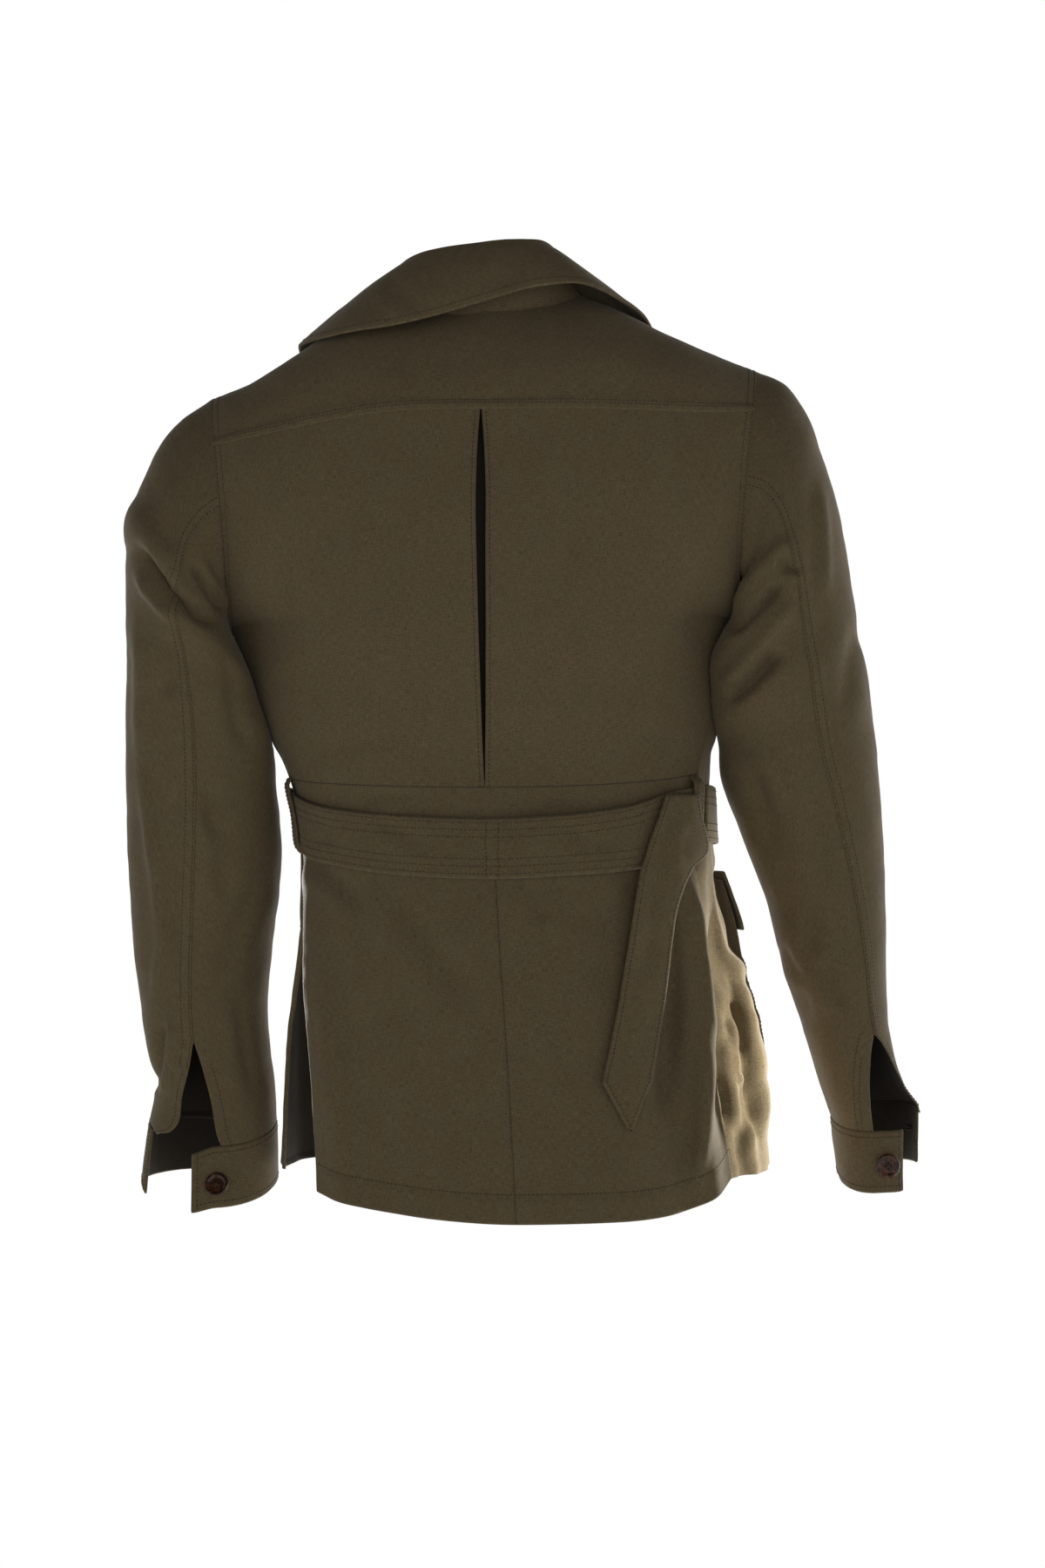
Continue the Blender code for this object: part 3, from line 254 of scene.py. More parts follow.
# creases as they appear from the back, in view units; columns: half width and
# depth in millimetres (below 0 is a trough), height of the lip beside it, on
# which side of the line the lip is, share of the length over which it fades out
CREASES = {
    "sleeve_left": (
        (6.0, -13.0, 0.0, -1, 0.20, ((150, 618), (160, 636), (175, 658), (196, 681), (224, 701), (242, 710), (254, 715))),
        (4.5, 5.0, 0.0, 1, 0.30, ((154, 650), (171, 680), (190, 703), (210, 716))),
        (11.0, 4.0, 0.0, 1, 0.30, ((152, 570), (164, 604), (184, 634), (212, 660))),
        (3.6, -6.5, 2.5, -1, 0.20, ((222, 648), (236, 671), (248, 688), (257, 703))),
        (7.0, -4.0, 0.0, 1, 0.30, ((258, 735), (266, 780), (272, 830), (286, 870))),
        (8.0, -4.0, 2.5, 1, 0.30, ((190, 722), (198, 760), (190, 805))),
        (6.0, 4.0, -1.5, 1, 0.30, ((156, 700), (163, 760), (162, 830), (166, 890))),
        (5.5, 4.5, -2.5, -1, 0.25, ((160, 850), (171, 930), (181, 1010), (187, 1080), (182, 1130), (171, 1190))),
        (5.5, -4.0, 2.0, 1, 0.30, ((243, 900), (240, 930), (247, 965))),
        (8.0, -3.2, 1.6, 1, 0.30, ((262, 930), (255, 990), (262, 1045))),
        (8.0, -3.0, 1.6, -1, 0.30, ((305, 1000), (274, 1060), (248, 1125))),
        (7.0, -2.6, 1.4, 1, 0.30, ((205, 890), (200, 960), (206, 1030))),
        (4.0, -6.5, 3.0, -1, 0.20, ((187, 1172), (184, 1212), (177, 1256))),
        (6.0, -2.8, 1.6, 1, 0.30, ((272, 1130), (280, 1200), (290, 1270)))),
    "sleeve_right": (
        (7.0, 5.5, 0.0, 1, 0.20, ((834, 704), (850, 684), (874, 654), (910, 616))),
        (5.0, -9.0, 0.0, 1, 0.20, ((838, 728), (852, 712), (874, 692), (898, 668))),
        (8.0, 6.0, 0.0, 1, 0.20, ((828, 794), (850, 768), (876, 736), (910, 688))),
        (6.0, -10.0, 1.5, 1, 0.20, ((834, 804), (850, 792), (868, 776), (896, 746))),
        (4.0, -5.0, 0.0, 1, 0.25, ((842, 684), (850, 666), (862, 648))),
        (4.0, -3.5, 1.8, 1, 0.30, ((891, 634), (904, 650), (924, 655))),
        (5.0, 3.0, -1.8, 1, 0.30, ((938, 545), (946, 610), (949, 690))),
        (9.0, 3.5, -2.5, 1, 0.30, ((850, 860), (880, 880), (905, 930))),
        (8.0, -3.2, 1.6, 1, 0.30, ((862, 880), (880, 930), (890, 985))),
        (5.0, -2.2, 1.0, -1, 0.30, ((896, 1080), (908, 1106), (926, 1130))),
        (6.0, -2.0, 1.0, 1, 0.30, ((916, 1130), (926, 1156), (930, 1184))),
        (6.0, -3.6, 1.8, 1, 0.25, ((942, 1100), (955, 1126), (970, 1158))),
        (7.0, -3.0, 1.6, 1, 0.30, ((925, 1040), (934, 1070), (930, 1100))),
        (7.0, -2.6, 1.4, -1, 0.30, ((990, 700), (976, 760), (966, 830))),
        (8.0, -2.4, 1.2, 1, 0.30, ((930, 900), (938, 960), (948, 1030)))),
    "back_left": (
        (11.0, -1.6, 0.9, 1, 0.30, ((268, 690), (296, 716), (322, 770))),
        (13.0, -1.4, 0.8, -1, 0.30, ((318, 640), (324, 700), (330, 760))),
        (10.0, -1.1, 0.6, 1, 0.30, ((345, 868), (400, 850), (470, 842))),
        (14.0, -1.2, 0.6, 1, 0.30, ((440, 560), (448, 640), (440, 720)))),
    "back_right": (
        (12.0, -1.6, 0.9, -1, 0.30, ((836, 640), (806, 690), (792, 760))),
        (12.0, -1.2, 0.7, 1, 0.30, ((700, 880), (730, 850), (780, 842))),
        (14.0, -1.1, 0.6, 1, 0.30, ((660, 560), (655, 660), (668, 760)))),
    "waistband_back": (
        (8.0, -1.8, 0.8, 1, 0.30, ((604, 935), (640, 915), (670, 918))),
        (7.0, -1.5, 0.8, 1, 0.30, ((400, 925), (440, 912), (480, 915)))),
    "skirt_back_left": (
        (8.0, -3.0, 1.2, 1, 0.30, ((344, 982), (372, 996), (398, 1020), (416, 1052))),
        (13.0, -3.2, 1.5, 1, 0.30, ((440, 1000), (471, 1048), (512, 1108), (551, 1168))),
        (14.0, -1.5, 0.8, -1, 0.30, ((430, 1130), (418, 1210), (424, 1300))),
        (10.0, 2.4, 0.0, 1, 0.30, ((362, 1080), (370, 1200), (382, 1340))),
        (9.0, -2.6, 1.2, 1, 0.30, ((386, 1050), (393, 1140), (398, 1230)))),
    "skirt_back_right": (
        (7.5, -2.8, 1.0, 1, 0.30, ((612, 1008), (616, 1035), (622, 1064))),
        (8.0, -1.8, 0.8, 1, 0.30, ((650, 1006), (660, 1040), (668, 1075))),
        (10.0, -2.2, 0.0, 1, 0.30, ((690, 1010), (694, 1080), (690, 1150))),
        (8.5, -8.5, 0.0, 1, 0.20, ((778, 1010), (777, 1100), (769, 1190), (759, 1285))),
        (5.5, 6.5, 0.0, 1, 0.15, ((792, 1000), (801, 1060), (808, 1125), (812, 1175), (810, 1240), (806, 1310), (797, 1375))),
        (5.0, -3.5, 1.5, 1, 0.30, ((815, 1180), (824, 1250), (830, 1330)))),
    "front_right": (
        (5.0, 6.0, 0.0, 1, 0.15, ((804, 950), (815, 1035), (830, 1092), (860, 1126))),
        (9.0, -8.0, 0.0, 1, 0.20, ((830, 985), (838, 1050), (854, 1106))),
        (4.0, 5.0, -4.0, 1, 0.20, ((818, 1112), (830, 1190), (846, 1300))),
        (3.6, -5.0, 3.0, 1, 0.20, ((834, 1112), (852, 1190), (864, 1300))),
        (4.0, 5.0, -3.5, 1, 0.20, ((848, 1122), (866, 1210), (879, 1310))),
        (3.6, -4.5, 2.5, 1, 0.20, ((858, 1116), (869, 1160), (884, 1240))),
        (4.5, -6.0, 3.0, 1, 0.20, ((820, 1270), (832, 1318), (842, 1356))),
        (4.0, -5.0, 3.0, -1, 0.20, ((848, 1286), (851, 1320), (858, 1356))),
        (4.5, -3.5, 2.0, -1, 0.30, ((838, 1150), (828, 1205), (838, 1250))),
        (4.0, -3.5, 2.0, 1, 0.30, ((860, 1225), (852, 1262), (862, 1300))),
        (2.8, -2.6, 1.5, 1, 0.25, ((815, 1177), (832, 1256), (838, 1313))),
        (2.6, -2.4, 1.4, 1, 0.25, ((840, 1150), (860, 1212), (872, 1280))),
        (2.6, 2.4, -1.3, -1, 0.25, ((826, 1118), (848, 1154), (864, 1180))),
        (2.6, -2.4, 1.3, -1, 0.25, ((856, 1190), (846, 1240), (856, 1290), (850, 1340))),
        (2.8, 2.5, -1.3, 1, 0.25, ((868, 1180), (876, 1240), (872, 1300))),
        (2.6, -2.2, 1.3, 1, 0.25, ((822, 1220), (836, 1270), (830, 1330))),
        (2.6, -2.2, 1.1, 1, 0.25, ((814, 1130), (826, 1165), (840, 1190))),
        (2.6, 2.2, -1.1, -1, 0.25, ((842, 1200), (852, 1250), (868, 1330)))),
    "belt_back": (
        (7.0, -1.6, 0.8, 1, 0.30, ((430, 938), (462, 955), (500, 978))),
        (6.0, -1.4, 0.8, -1, 0.30, ((362, 930), (376, 952), (380, 980))),
        (8.0, -1.2, 0.6, 1, 0.30, ((640, 940), (676, 965), (720, 970)))),
    "belt_tail": (
        (6.0, -2.2, 1.0, 1, 0.30, ((748, 990), (748, 1060), (738, 1130))),
        (5.0, -1.8, 1.0, -1, 0.30, ((770, 930), (760, 970), (764, 1010)))),
    "yoke": (
        (12.0, -1.2, 0.6, 1, 0.30, ((660, 372), (720, 385), (780, 410))),
        (14.0, -1.0, 0.5, 1, 0.30, ((420, 420), (500, 412), (580, 418))),
        (8.0, -1.4, 0.8, -1, 0.30, ((258, 470), (290, 452), (330, 440)))),
    "collar": (
        (9.0, -1.4, 0.8, 1, 0.30, ((440, 320), (470, 345), (480, 362))),
        (10.0, -1.2, 0.7, -1, 0.30, ((600, 285), (590, 310), (570, 338))),
        (8.0, -1.0, 0.6, 1, 0.30, ((395, 365), (420, 352), (446, 350))))}

# creases on the sides that face away from the view; columns: across, along,
# half_across, half_along, depth, lean, as for the large folds
HIDDEN = {
    "front_left": ((0.62, 1.95, 0.05, 0.22, -5, 0.30), (0.80, 1.80, 0.05, 0.25, 4, 0.25), (0.45, 1.45, 0.05, 0.22, -3, 0.35),
                   (0.70, 1.12, 0.16, 0.05, -4, 0.0), (0.30, 1.16, 0.14, 0.05, -3, 0.0), (0.35, 0.66, 0.03, 0.16, -4, 0.05),
                   (0.55, 0.70, 0.03, 0.14, 3, 0.04), (0.20, 0.30, 0.05, 0.35, -3, 0.02), (0.90, 1.40, 0.05, 0.3, -4, 0.1),
                   (0.55, 2.40, 0.06, 0.20, -3, -0.3)),
    "front_right": ((-0.60, 1.92, 0.05, 0.22, -5, -0.30), (-0.78, 1.78, 0.05, 0.25, 4, -0.25), (-0.42, 1.48, 0.05, 0.22, -3, -0.35),
                    (-0.66, 1.13, 0.16, 0.05, -4, 0.0), (-0.28, 1.15, 0.14, 0.05, -3, 0.0), (-0.38, 0.66, 0.03, 0.16, -4, -0.05),
                    (-0.22, 0.30, 0.05, 0.35, -3, -0.02), (-0.55, 2.40, 0.06, 0.20, -3, 0.3)),
    "sleeve_left": ((300, 5.2, 35, 0.30, -6, 0.012), (255, 6.2, 30, 0.28, -5, 0.014), (320, 8.6, 30, 0.30, -5, -0.012),
                    (270, 9.4, 32, 0.28, 4, 0.010), (290, 10.4, 36, 0.26, -5, 0.012), (250, 11.6, 30, 0.26, -4, 0.010),
                    (320, 13.2, 28, 0.30, -4, -0.012), (265, 14.6, 30, 0.28, -4, 0.012), (330, 2.6, 26, 0.5, -3, 0.01)),
    "sleeve_right": ((300, 5.0, 35, 0.30, -6, -0.012), (255, 6.4, 30, 0.28, -5, -0.014), (320, 8.2, 30, 0.30, -5, 0.012),
                     (270, 9.2, 32, 0.28, 4, -0.010), (290, 10.6, 36, 0.26, -5, -0.012), (250, 11.8, 30, 0.26, -4, -0.010),
                     (320, 13.0, 28, 0.30, -4, 0.012), (265, 14.2, 30, 0.28, -4, -0.012), (330, 2.6, 26, 0.5, -3, -0.01))}


# ---------------------------------------------------------------- surfaces
def unit(v):
    return v / np.maximum(np.linalg.norm(v, axis=-1, keepdims=True), 1e-9)


def smoothstep(a, b, x):
    f = np.clip((np.asarray(x, float) - a) / (b - a), 0.0, 1.0)
    return f * f * (3 - 2 * f)


def folds(table, piece, across, along):
    """Height of a piece's folds: soft troughs (below 0) and ridges."""
    total = np.zeros(np.broadcast(across, along).shape)
    for a0, b0, wa, wb, depth, lean in table.get(piece, ()):
        if abs(lean) > 0.005 and wb < 0.6 and wa > 1.0:     # slanting crease round a sleeve
            rise = along - b0 - lean * (across - a0)
            total += depth * np.exp(-(rise / wb) ** 2 - ((across - a0) / wa) ** 2)
        else:
            total += depth * np.exp(-((across - a0 - lean * (along - b0)) / wa) ** 2
                                    - ((along - b0) / wb) ** 2)
    return total


def armhole(side, angle):
    a = ARMHOLE[side]
    top, low = np.array(a["top"], float), np.array(a["low"], float)
    c, s = np.cos(np.radians(angle)), np.sin(np.radians(angle))
    p = (top + low) / 2 + c[..., None] * (top - low) / 2
    p[..., 1] += np.where(s > 0, a["back"], a["front"]) * s
    p[..., 0] -= side * a["inset"] * np.where(s > 0, 0.25, 1.0) * s * s
    return p


def edge(side, t, front):
    tag = "lx ly lz" if side > 0 else "rx ry rz"
    low = BACK_EDGE.point(tag, np.minimum(t, T_ARMPIT))
    if front:
        vent = FRONT_EDGE.point(tag, np.minimum(t, T_VENT))
        low = np.where((t < T_VENT)[..., None], vent, low)
    turn = 180.0 * (np.clip(t, 2.0, 3.0) - 2.0)
    ring = armhole(side, 180.0 + turn if front else 180.0 - turn)
    return np.where((t > T_ARMPIT)[..., None], ring, low)


EASE = np.linspace(-0.42, 0.42, 9)


def section(s, t, front, e):
    table = FRONT_MID if front else BACK_MID
    mid = table.point("x y z", t)
    left = s >= 0
    wrap = np.radians(np.where(left, table("wrap_l", t), table("wrap_r", t)))
    rise = np.where(left, table("rise_l", t), table("rise_r", t))
    a = np.abs(s)
    th = a * wrap
    x = mid[..., 0] + (e[..., 0] - mid[..., 0]) * np.sin(th) / np.sin(wrap)
    y = e[..., 1] + (mid[..., 1] - e[..., 1]) * (np.cos(th) - np.cos(wrap)) / (1 - np.cos(wrap))
    z = mid[..., 2] + (e[..., 2] - mid[..., 2]) * a ** rise
    return np.stack([x, y, z], axis=-1)


def side_edge(s, t, front):
    return np.where((s >= 0)[..., None], edge(+1, t, front), edge(-1, t, front))


def torso(s, t, front):
    """Body surface; s runs from -1 (right edge) through 0 (centre) to +1."""
    s, t = np.broadcast_arrays(np.asarray(s, float), np.asarray(t, float))
    e = side_edge(s, t, front)
    last = 3.0 if front else T_YOKE
    eased = np.zeros(e.shape)
    for d in EASE:
        eased += side_edge(s, np.clip(t + d, 0.7, last), front) / len(EASE)
    share = (smoothstep(1.1, 1.6, t) * (1 - smoothstep(last - 0.4, last, t)))[..., None]
    soft = e + share * (eased - e)
    p = section(s, t, front, soft) + smoothstep(0.40, 1.0, np.abs(s))[..., None] * (e - soft)
    if front:
        row = np.full(s.shape, 3.0)
        top = shoulder(s) - section(s, row, True, side_edge(s, row, True))
        p = p + smoothstep(2.55, 3.0, t)[..., None] * top
    return p


def shoulder(s):
    s = np.asarray(s, float)
    left = SHOULDER.point("lx ly lz", np.abs(s))
    right = SHOULDER.point("rx ry rz", np.abs(s))
    return np.where((s >= 0)[..., None], left, right)


def normal(fn, u, v, sign, du=1e-3, dv=1e-3):
    pu = fn(u + du, v) - fn(u - du, v)
    pv = fn(u, v + dv) - fn(u, v - dv)
    return sign * unit(np.cross(pu, pv))


def body(s, t, front, off=0.0, piece=None):
    """Body surface moved outwards by off, with the folds of one piece."""
    s, t = np.broadcast_arrays(np.asarray(s, float), np.asarray(t, float))
    t_in = np.clip(t, 0.002, (2.998 if front else T_YOKE - 0.002))
    n = normal(lambda a, b: torso(a, b, front), s, t_in, +1.0 if front else -1.0)
    h = np.asarray(off, float)
    if piece:
        h = h + folds(FOLDS, piece, s, t) + folds(HIDDEN, piece, s, t)
    return torso(s, t, front) + n * np.broadcast_to(h, s.shape)[..., None]


def height_number(s, z, front):
    """Height number at which the body surface at s reaches height z."""
    s, z = np.broadcast_arrays(np.asarray(s, float), np.asarray(z, float))
    low, high = np.zeros(s.shape), np.full(s.shape, 1.6)
    for _ in range(22):
        mid = (low + high) / 2
        below = torso(s, mid, front)[..., 2] < z
        low, high = np.where(below, mid, low), np.where(below, high, mid)
    return (low + high) / 2


def yoke_line(s):
    """Height number of the yoke seam, which drops towards the armholes."""
    return T_YOKE - 0.070 * smoothstep(0.15, 1.0, s) - 0.039 * smoothstep(0.25, 1.0, -s)


def yoke_surface(s, v):
    s, v = np.broadcast_arrays(np.asarray(s, float), np.asarray(v, float))
    a = torso(s, yoke_line(s), False)
    b = shoulder(s)
    c = np.stack([a[..., 0] * 0.6 + b[..., 0] * 0.4,
                  a[..., 1] - 0.12 * (a[..., 1] - b[..., 1]),
                  a[..., 2] + YOKE_RISE("rise", np.abs(s)) * (b[..., 2] - a[..., 2])], axis=-1)
    w = v[..., None]
    p = (1 - w) ** 2 * a + 2 * w * (1 - w) * c + w * w * b
    for side in (+1, -1):
        end = np.full(s.shape, float(side))
        ea = torso(end, yoke_line(end), False)
        eb = shoulder(end)
        ec = np.stack([ea[..., 0] * 0.6 + eb[..., 0] * 0.4,
                       ea[..., 1] - 0.12 * (ea[..., 1] - eb[..., 1]), eb[..., 2]], axis=-1)
        plain = (1 - w) ** 2 * ea + 2 * w * (1 - w) * ec + w * w * eb
        ring = armhole(side, (540.0 - 180.0 * yoke_line(end)) * (1 - v))
        p = p + (smoothstep(0.7, 1.0, side * s)[..., None]) * (ring - plain)
    return p


def sleeve_ring(side, k, angle):
    tb = SLEEVE[side]
    c, s = np.cos(np.radians(angle)), np.sin(np.radians(angle))
    o = np.stack([tb("ox", k), tb("oy", k), tb("oz", k)], axis=-1)
    i = np.stack([tb("ix", k), tb("iy", k), tb("iz", k)], axis=-1)
    p = (o + i) / 2 + c[..., None] * (o - i) / 2
    p[..., 1] += tb("depth", k) * s
    p[..., 2] -= tb("drop", k) * np.maximum(s, 0.0)
    return p


# the inner side of each sleeve leans on the body below the armpit: extra reach by ring
LEAN_IN = {
    +1: Table("k reach", ((0, 0.0), (1.0, 3.0), (2.5, 9.0), (4.5, 13.0), (6.3, 12.0), (7.6, 4.0), (8.6, 0.0), (17, 0.0))),
    -1: Table("k reach", ((0, 0.0), (1.0, 5.0), (2.2, 15.0), (3.6, 20.0), (5.0, 17.0), (6.2, 9.0), (7.4, 1.0), (8.4, 0.0), (17, 0.0)))}


def sleeve_surface(side, k, angle):
    """Sleeve: ring k from the armhole (0) to the cuff, angle 0 outer, 90 back."""
    k, angle = np.broadcast_arrays(np.asarray(k, float), np.asarray(angle, float))
    p = sleeve_ring(side, k, angle)
    ring = armhole(side, angle)
    p = p + (1 - smoothstep(0.0, 3.0, k))[..., None] * (ring - sleeve_ring(side, 0 * k, angle))
    inner = np.exp(-((np.mod(angle, 360.0) - 165.0) / 48.0) ** 2)
    p[..., 0] -= side * LEAN_IN[side]("reach", k) * inner
    return p


def sleeve(side, k, angle, off=0.0):
    k, angle = np.broadcast_arrays(np.asarray(k, float), np.asarray(angle, float))
    n = normal(lambda a, b: sleeve_surface(side, a, b), np.clip(k, 0.01, K_CUFF - 0.01), angle,
               -side, 0.01, 0.1)
    name = "sleeve_left" if side > 0 else "sleeve_right"
    turn = np.mod(angle, 360.0)
    h = folds(FOLDS, name, turn, k) + folds(HIDDEN, name, turn, k)
    h = np.asarray(off, float) + h * smoothstep(0.0, 2.0, k)
    return sleeve_surface(side, k, angle) + n * np.broadcast_to(h, k.shape)[..., None]


def cuff_surface(side, angle, w):
    """Cuff band; w 0 at the sleeve, 1 at the free edge."""
    angle, w = np.broadcast_arrays(np.asarray(angle, float), np.asarray(w, float))
    base = sleeve_surface(side, np.full(angle.shape, K_CUFF), angle)
    tb, sl = CUFF[side], SLEEVE[side]
    mid = np.array([(sl.rows[-1, 1] + sl.rows[-1, 4]) / 2, sl.rows[-1, 3]])
    out = unit(base[..., :2] - mid)
    p = base.copy()
    p[..., :2] += out * (tb("flare", angle) * w)[..., None]
    p[..., 2] -= tb("drop", angle) + tb("height", angle) * w
    return p


def collar_surface(c, w):
    """Collar; w 0 neck seam, 0.4 roll line, 1 outer edge."""
    c, w = np.broadcast_arrays(np.asarray(c, float), np.asarray(w, float))
    s, r, e = (COLLAR.point(n, c) for n in ("sx sy sz", "rx ry rz", "ex ey ez"))
    out = unit((e - r) * np.array([1.0, 1.0, 0.0]))
    up = np.array([0.0, 0.0, 1.0])
    stand = r - 3.0 * out - 3.0 * up
    turn = r + 3.0 * out - 2.0 * up
    f = np.clip(w / 0.36, 0, 1)[..., None]
    inner = s + (stand - s) * f
    g = np.clip((w - 0.36) / 0.08, 0, 1)[..., None]
    over = (1 - g) ** 2 * stand + 2 * g * (1 - g) * (r + 4.0 * up) + g * g * turn
    q = np.clip((w - 0.44) / 0.56, 0, 1)[..., None]
    lift = COLLAR("bulge", c)[..., None] * (0.55 * out + 0.85 * up)
    ctrl = (turn + e) / 2 + 2.0 * lift
    fall = (1 - q) ** 2 * turn + 2 * q * (1 - q) * ctrl + q * q * e
    w = w[..., None]
    return np.where(w <= 0.36, inner, np.where(w <= 0.44, over, fall))


# ---------------------------------------------------------------- folds and surface life
def seen(p):
    """Where points appear from the back, in view units."""
    k = F_VIEW / (EYE[1] - p[..., 1])
    return np.stack([600.0 - (p[..., 0] - EYE[0]) * k, 900.0 - (p[..., 2] - EYE[2]) * k], axis=-1)


def crease_height(q, width, depth, lip, lip_side, soft_end, line):
    """Height of one crease at view points q; it fades out towards its ends."""
    pts = np.array(line, float)
    seg = np.diff(pts, axis=0)
    length = np.linalg.norm(seg, axis=1)
    start = np.concatenate([[0.0], np.cumsum(length)])
    best = np.full(q.shape[:-1], 1e9)
    signed = np.zeros(q.shape[:-1])
    along = np.zeros(q.shape[:-1])
    for a, d, l, s0 in zip(pts, seg, length, start):
        r = q - a
        f = np.clip((r @ d) / (l * l), 0.0, 1.0)
        off = r - f[..., None] * d
        dist = np.linalg.norm(off, axis=-1)
        side = np.sign(d[0] * r[..., 1] - d[1] * r[..., 0])
        near = dist < best
        best = np.where(near, dist, best)
        signed = np.where(near, dist * side, signed)
        along = np.where(near, (s0 + f * l) / start[-1], along)
    w = width * VIEW_SCALE
    fade = smoothstep(-0.02, soft_end, along) * smoothstep(-0.02, soft_end, 1.0 - along)
    x = signed / w
    return fade * (depth * np.exp(-x * x) + lip * np.exp(-((x - 1.75 * lip_side) / 1.15) ** 2))


rng = np.random.RandomState(11)
WAVES = []
for wavelength, amplitude, count in ((150.0, 0.55, 7), (60.0, 0.26, 9), (26.0, 0.10, 12), (13.0, 0.045, 14)):
    for _ in range(count):
        d = rng.normal(size=3) * np.array([1.0, 1.0, 0.75])
        d /= np.linalg.norm(d)
        WAVES.append((d * 2 * math.pi / (wavelength * rng.uniform(0.75, 1.3)),
                      rng.uniform(0, 2 * math.pi), amplitude * rng.uniform(0.5, 1.0)))


def life(p):
    """Small unevenness of worn linen, continuous from piece to piece."""
    h = np.zeros(p.shape[:-1])
    for k, phase, a in WAVES:
        h += a * np.sin(p @ k + phase)
    return h * 0.42


def grid_normals(g, sign):
    du = np.gradient(g, axis=1)
    dv = np.gradient(g, axis=0)
    return sign * unit(np.cross(du, dv))


def dress(g, sign, group, amount=1.0, turned=(-0.35, 0.05)):
    """Move a grid along its normals by the unevenness, and by the creases of its group
    where it is turned to the back (share of +Y at which they start and are full)."""
    n = grid_normals(g, sign)
    q = seen(g)
    h = np.zeros(g.shape[:-1])
    for row in CREASES.get(group, ()):
        h += crease_height(q, *row)
    h *= smoothstep(*turned, n[..., 1])
    return g + n * (h + amount * life(g))[..., None]


# ---------------------------------------------------------------- grids
def spread(length, step, fine=(), fine_end=()):
    """Shares 0..1 along a length, spaced by step, with closer rows at the ends."""
    a = [d / length for d in fine]
    b = [1.0 - d / length for d in fine_end]
    lo = a[-1] if a else 0.0
    hi = b[-1] if b else 1.0
    n = max(int(round((hi - lo) * length / step)), 1)
    mid = list(np.linspace(lo, hi, n + 1))
    return np.array(a[:-1] + mid + b[::-1][1:] if b else a[:-1] + mid)


FINE = (0.0, 0.9, 2.2, 3.8, 5.6, 7.8, 10.4)


def tuck(g, sign, where, length, drop, rows=3):
    """Run a grid on beyond one edge, sinking below its neighbour."""
    g = {"first": g, "last": g[::-1], "start": g.swapaxes(0, 1), "stop": g.swapaxes(0, 1)[::-1]}[where]
    flip = {"first": 1, "last": -1, "start": -1, "stop": 1}[where]
    n = grid_normals(g, sign * flip)[0]
    step = unit(g[0] - g[2])
    extra = []
    for i in range(rows, 0, -1):
        f = i / rows
        extra.append(g[0] + step * (length * f) - n * (np.broadcast_to(drop, n.shape[:1]) * smoothstep(0, 0.6, f))[:, None])
    g = np.concatenate([np.array(extra), g], axis=0)
    return {"first": g, "last": g[::-1], "start": g.swapaxes(0, 1), "stop": g.swapaxes(0, 1)[::-1]}[where]


# ---------------------------------------------------------------- materials
def node(nt, kind, x, y, **props):
    n = nt.nodes.new(kind)
    n.location = (x, y)
    for k, v in props.items():
        setattr(n, k, v)
    return n


def ramp(nt, x, y, stops):
    r = node(nt, "ShaderNodeValToRGB", x, y)
    e = r.color_ramp.elements
    while len(e) < len(stops):
        e.new(0.5)
    for el, (pos, col) in zip(e, stops):
        el.position = pos
        el.color = (*col, 1.0)
    return r


def noise(nt, x, y, vector, scale, detail, rough=0.55):
    n = node(nt, "ShaderNodeTexNoise", x, y)
    n.inputs["Scale"].default_value = scale
    n.inputs["Detail"].default_value = detail
    n.inputs["Roughness"].default_value = rough
    nt.links.new(vector, n.inputs["Vector"])
    return n


def stretched(nt, x, y, vector, scale):
    m = node(nt, "ShaderNodeMapping", x, y)
    m.inputs["Scale"].default_value = scale
    nt.links.new(vector, m.inputs["Vector"])
    return m.outputs["Vector"]


def mix_rgb(nt, x, y, kind, factor, a, b):
    m = node(nt, "ShaderNodeMix", x, y, data_type="RGBA", blend_type=kind)
    if isinstance(factor, float):
        m.inputs[0].default_value = factor
    else:
        nt.links.new(factor, m.inputs[0])
    for socket, value in ((m.inputs[6], a), (m.inputs[7], b)):
        if isinstance(value, tuple):
            socket.default_value = (*value, 1.0)
        else:
            nt.links.new(value, socket)
    return m.outputs[2]


def math_node(nt, x, y, op, a, b):
    m = node(nt, "ShaderNodeMath", x, y, operation=op)
    for socket, value in ((m.inputs[0], a), (m.inputs[1], b)):
        if isinstance(value, (int, float)):
            socket.default_value = value
        else:
            nt.links.new(value, socket)
    return m.outputs[0]


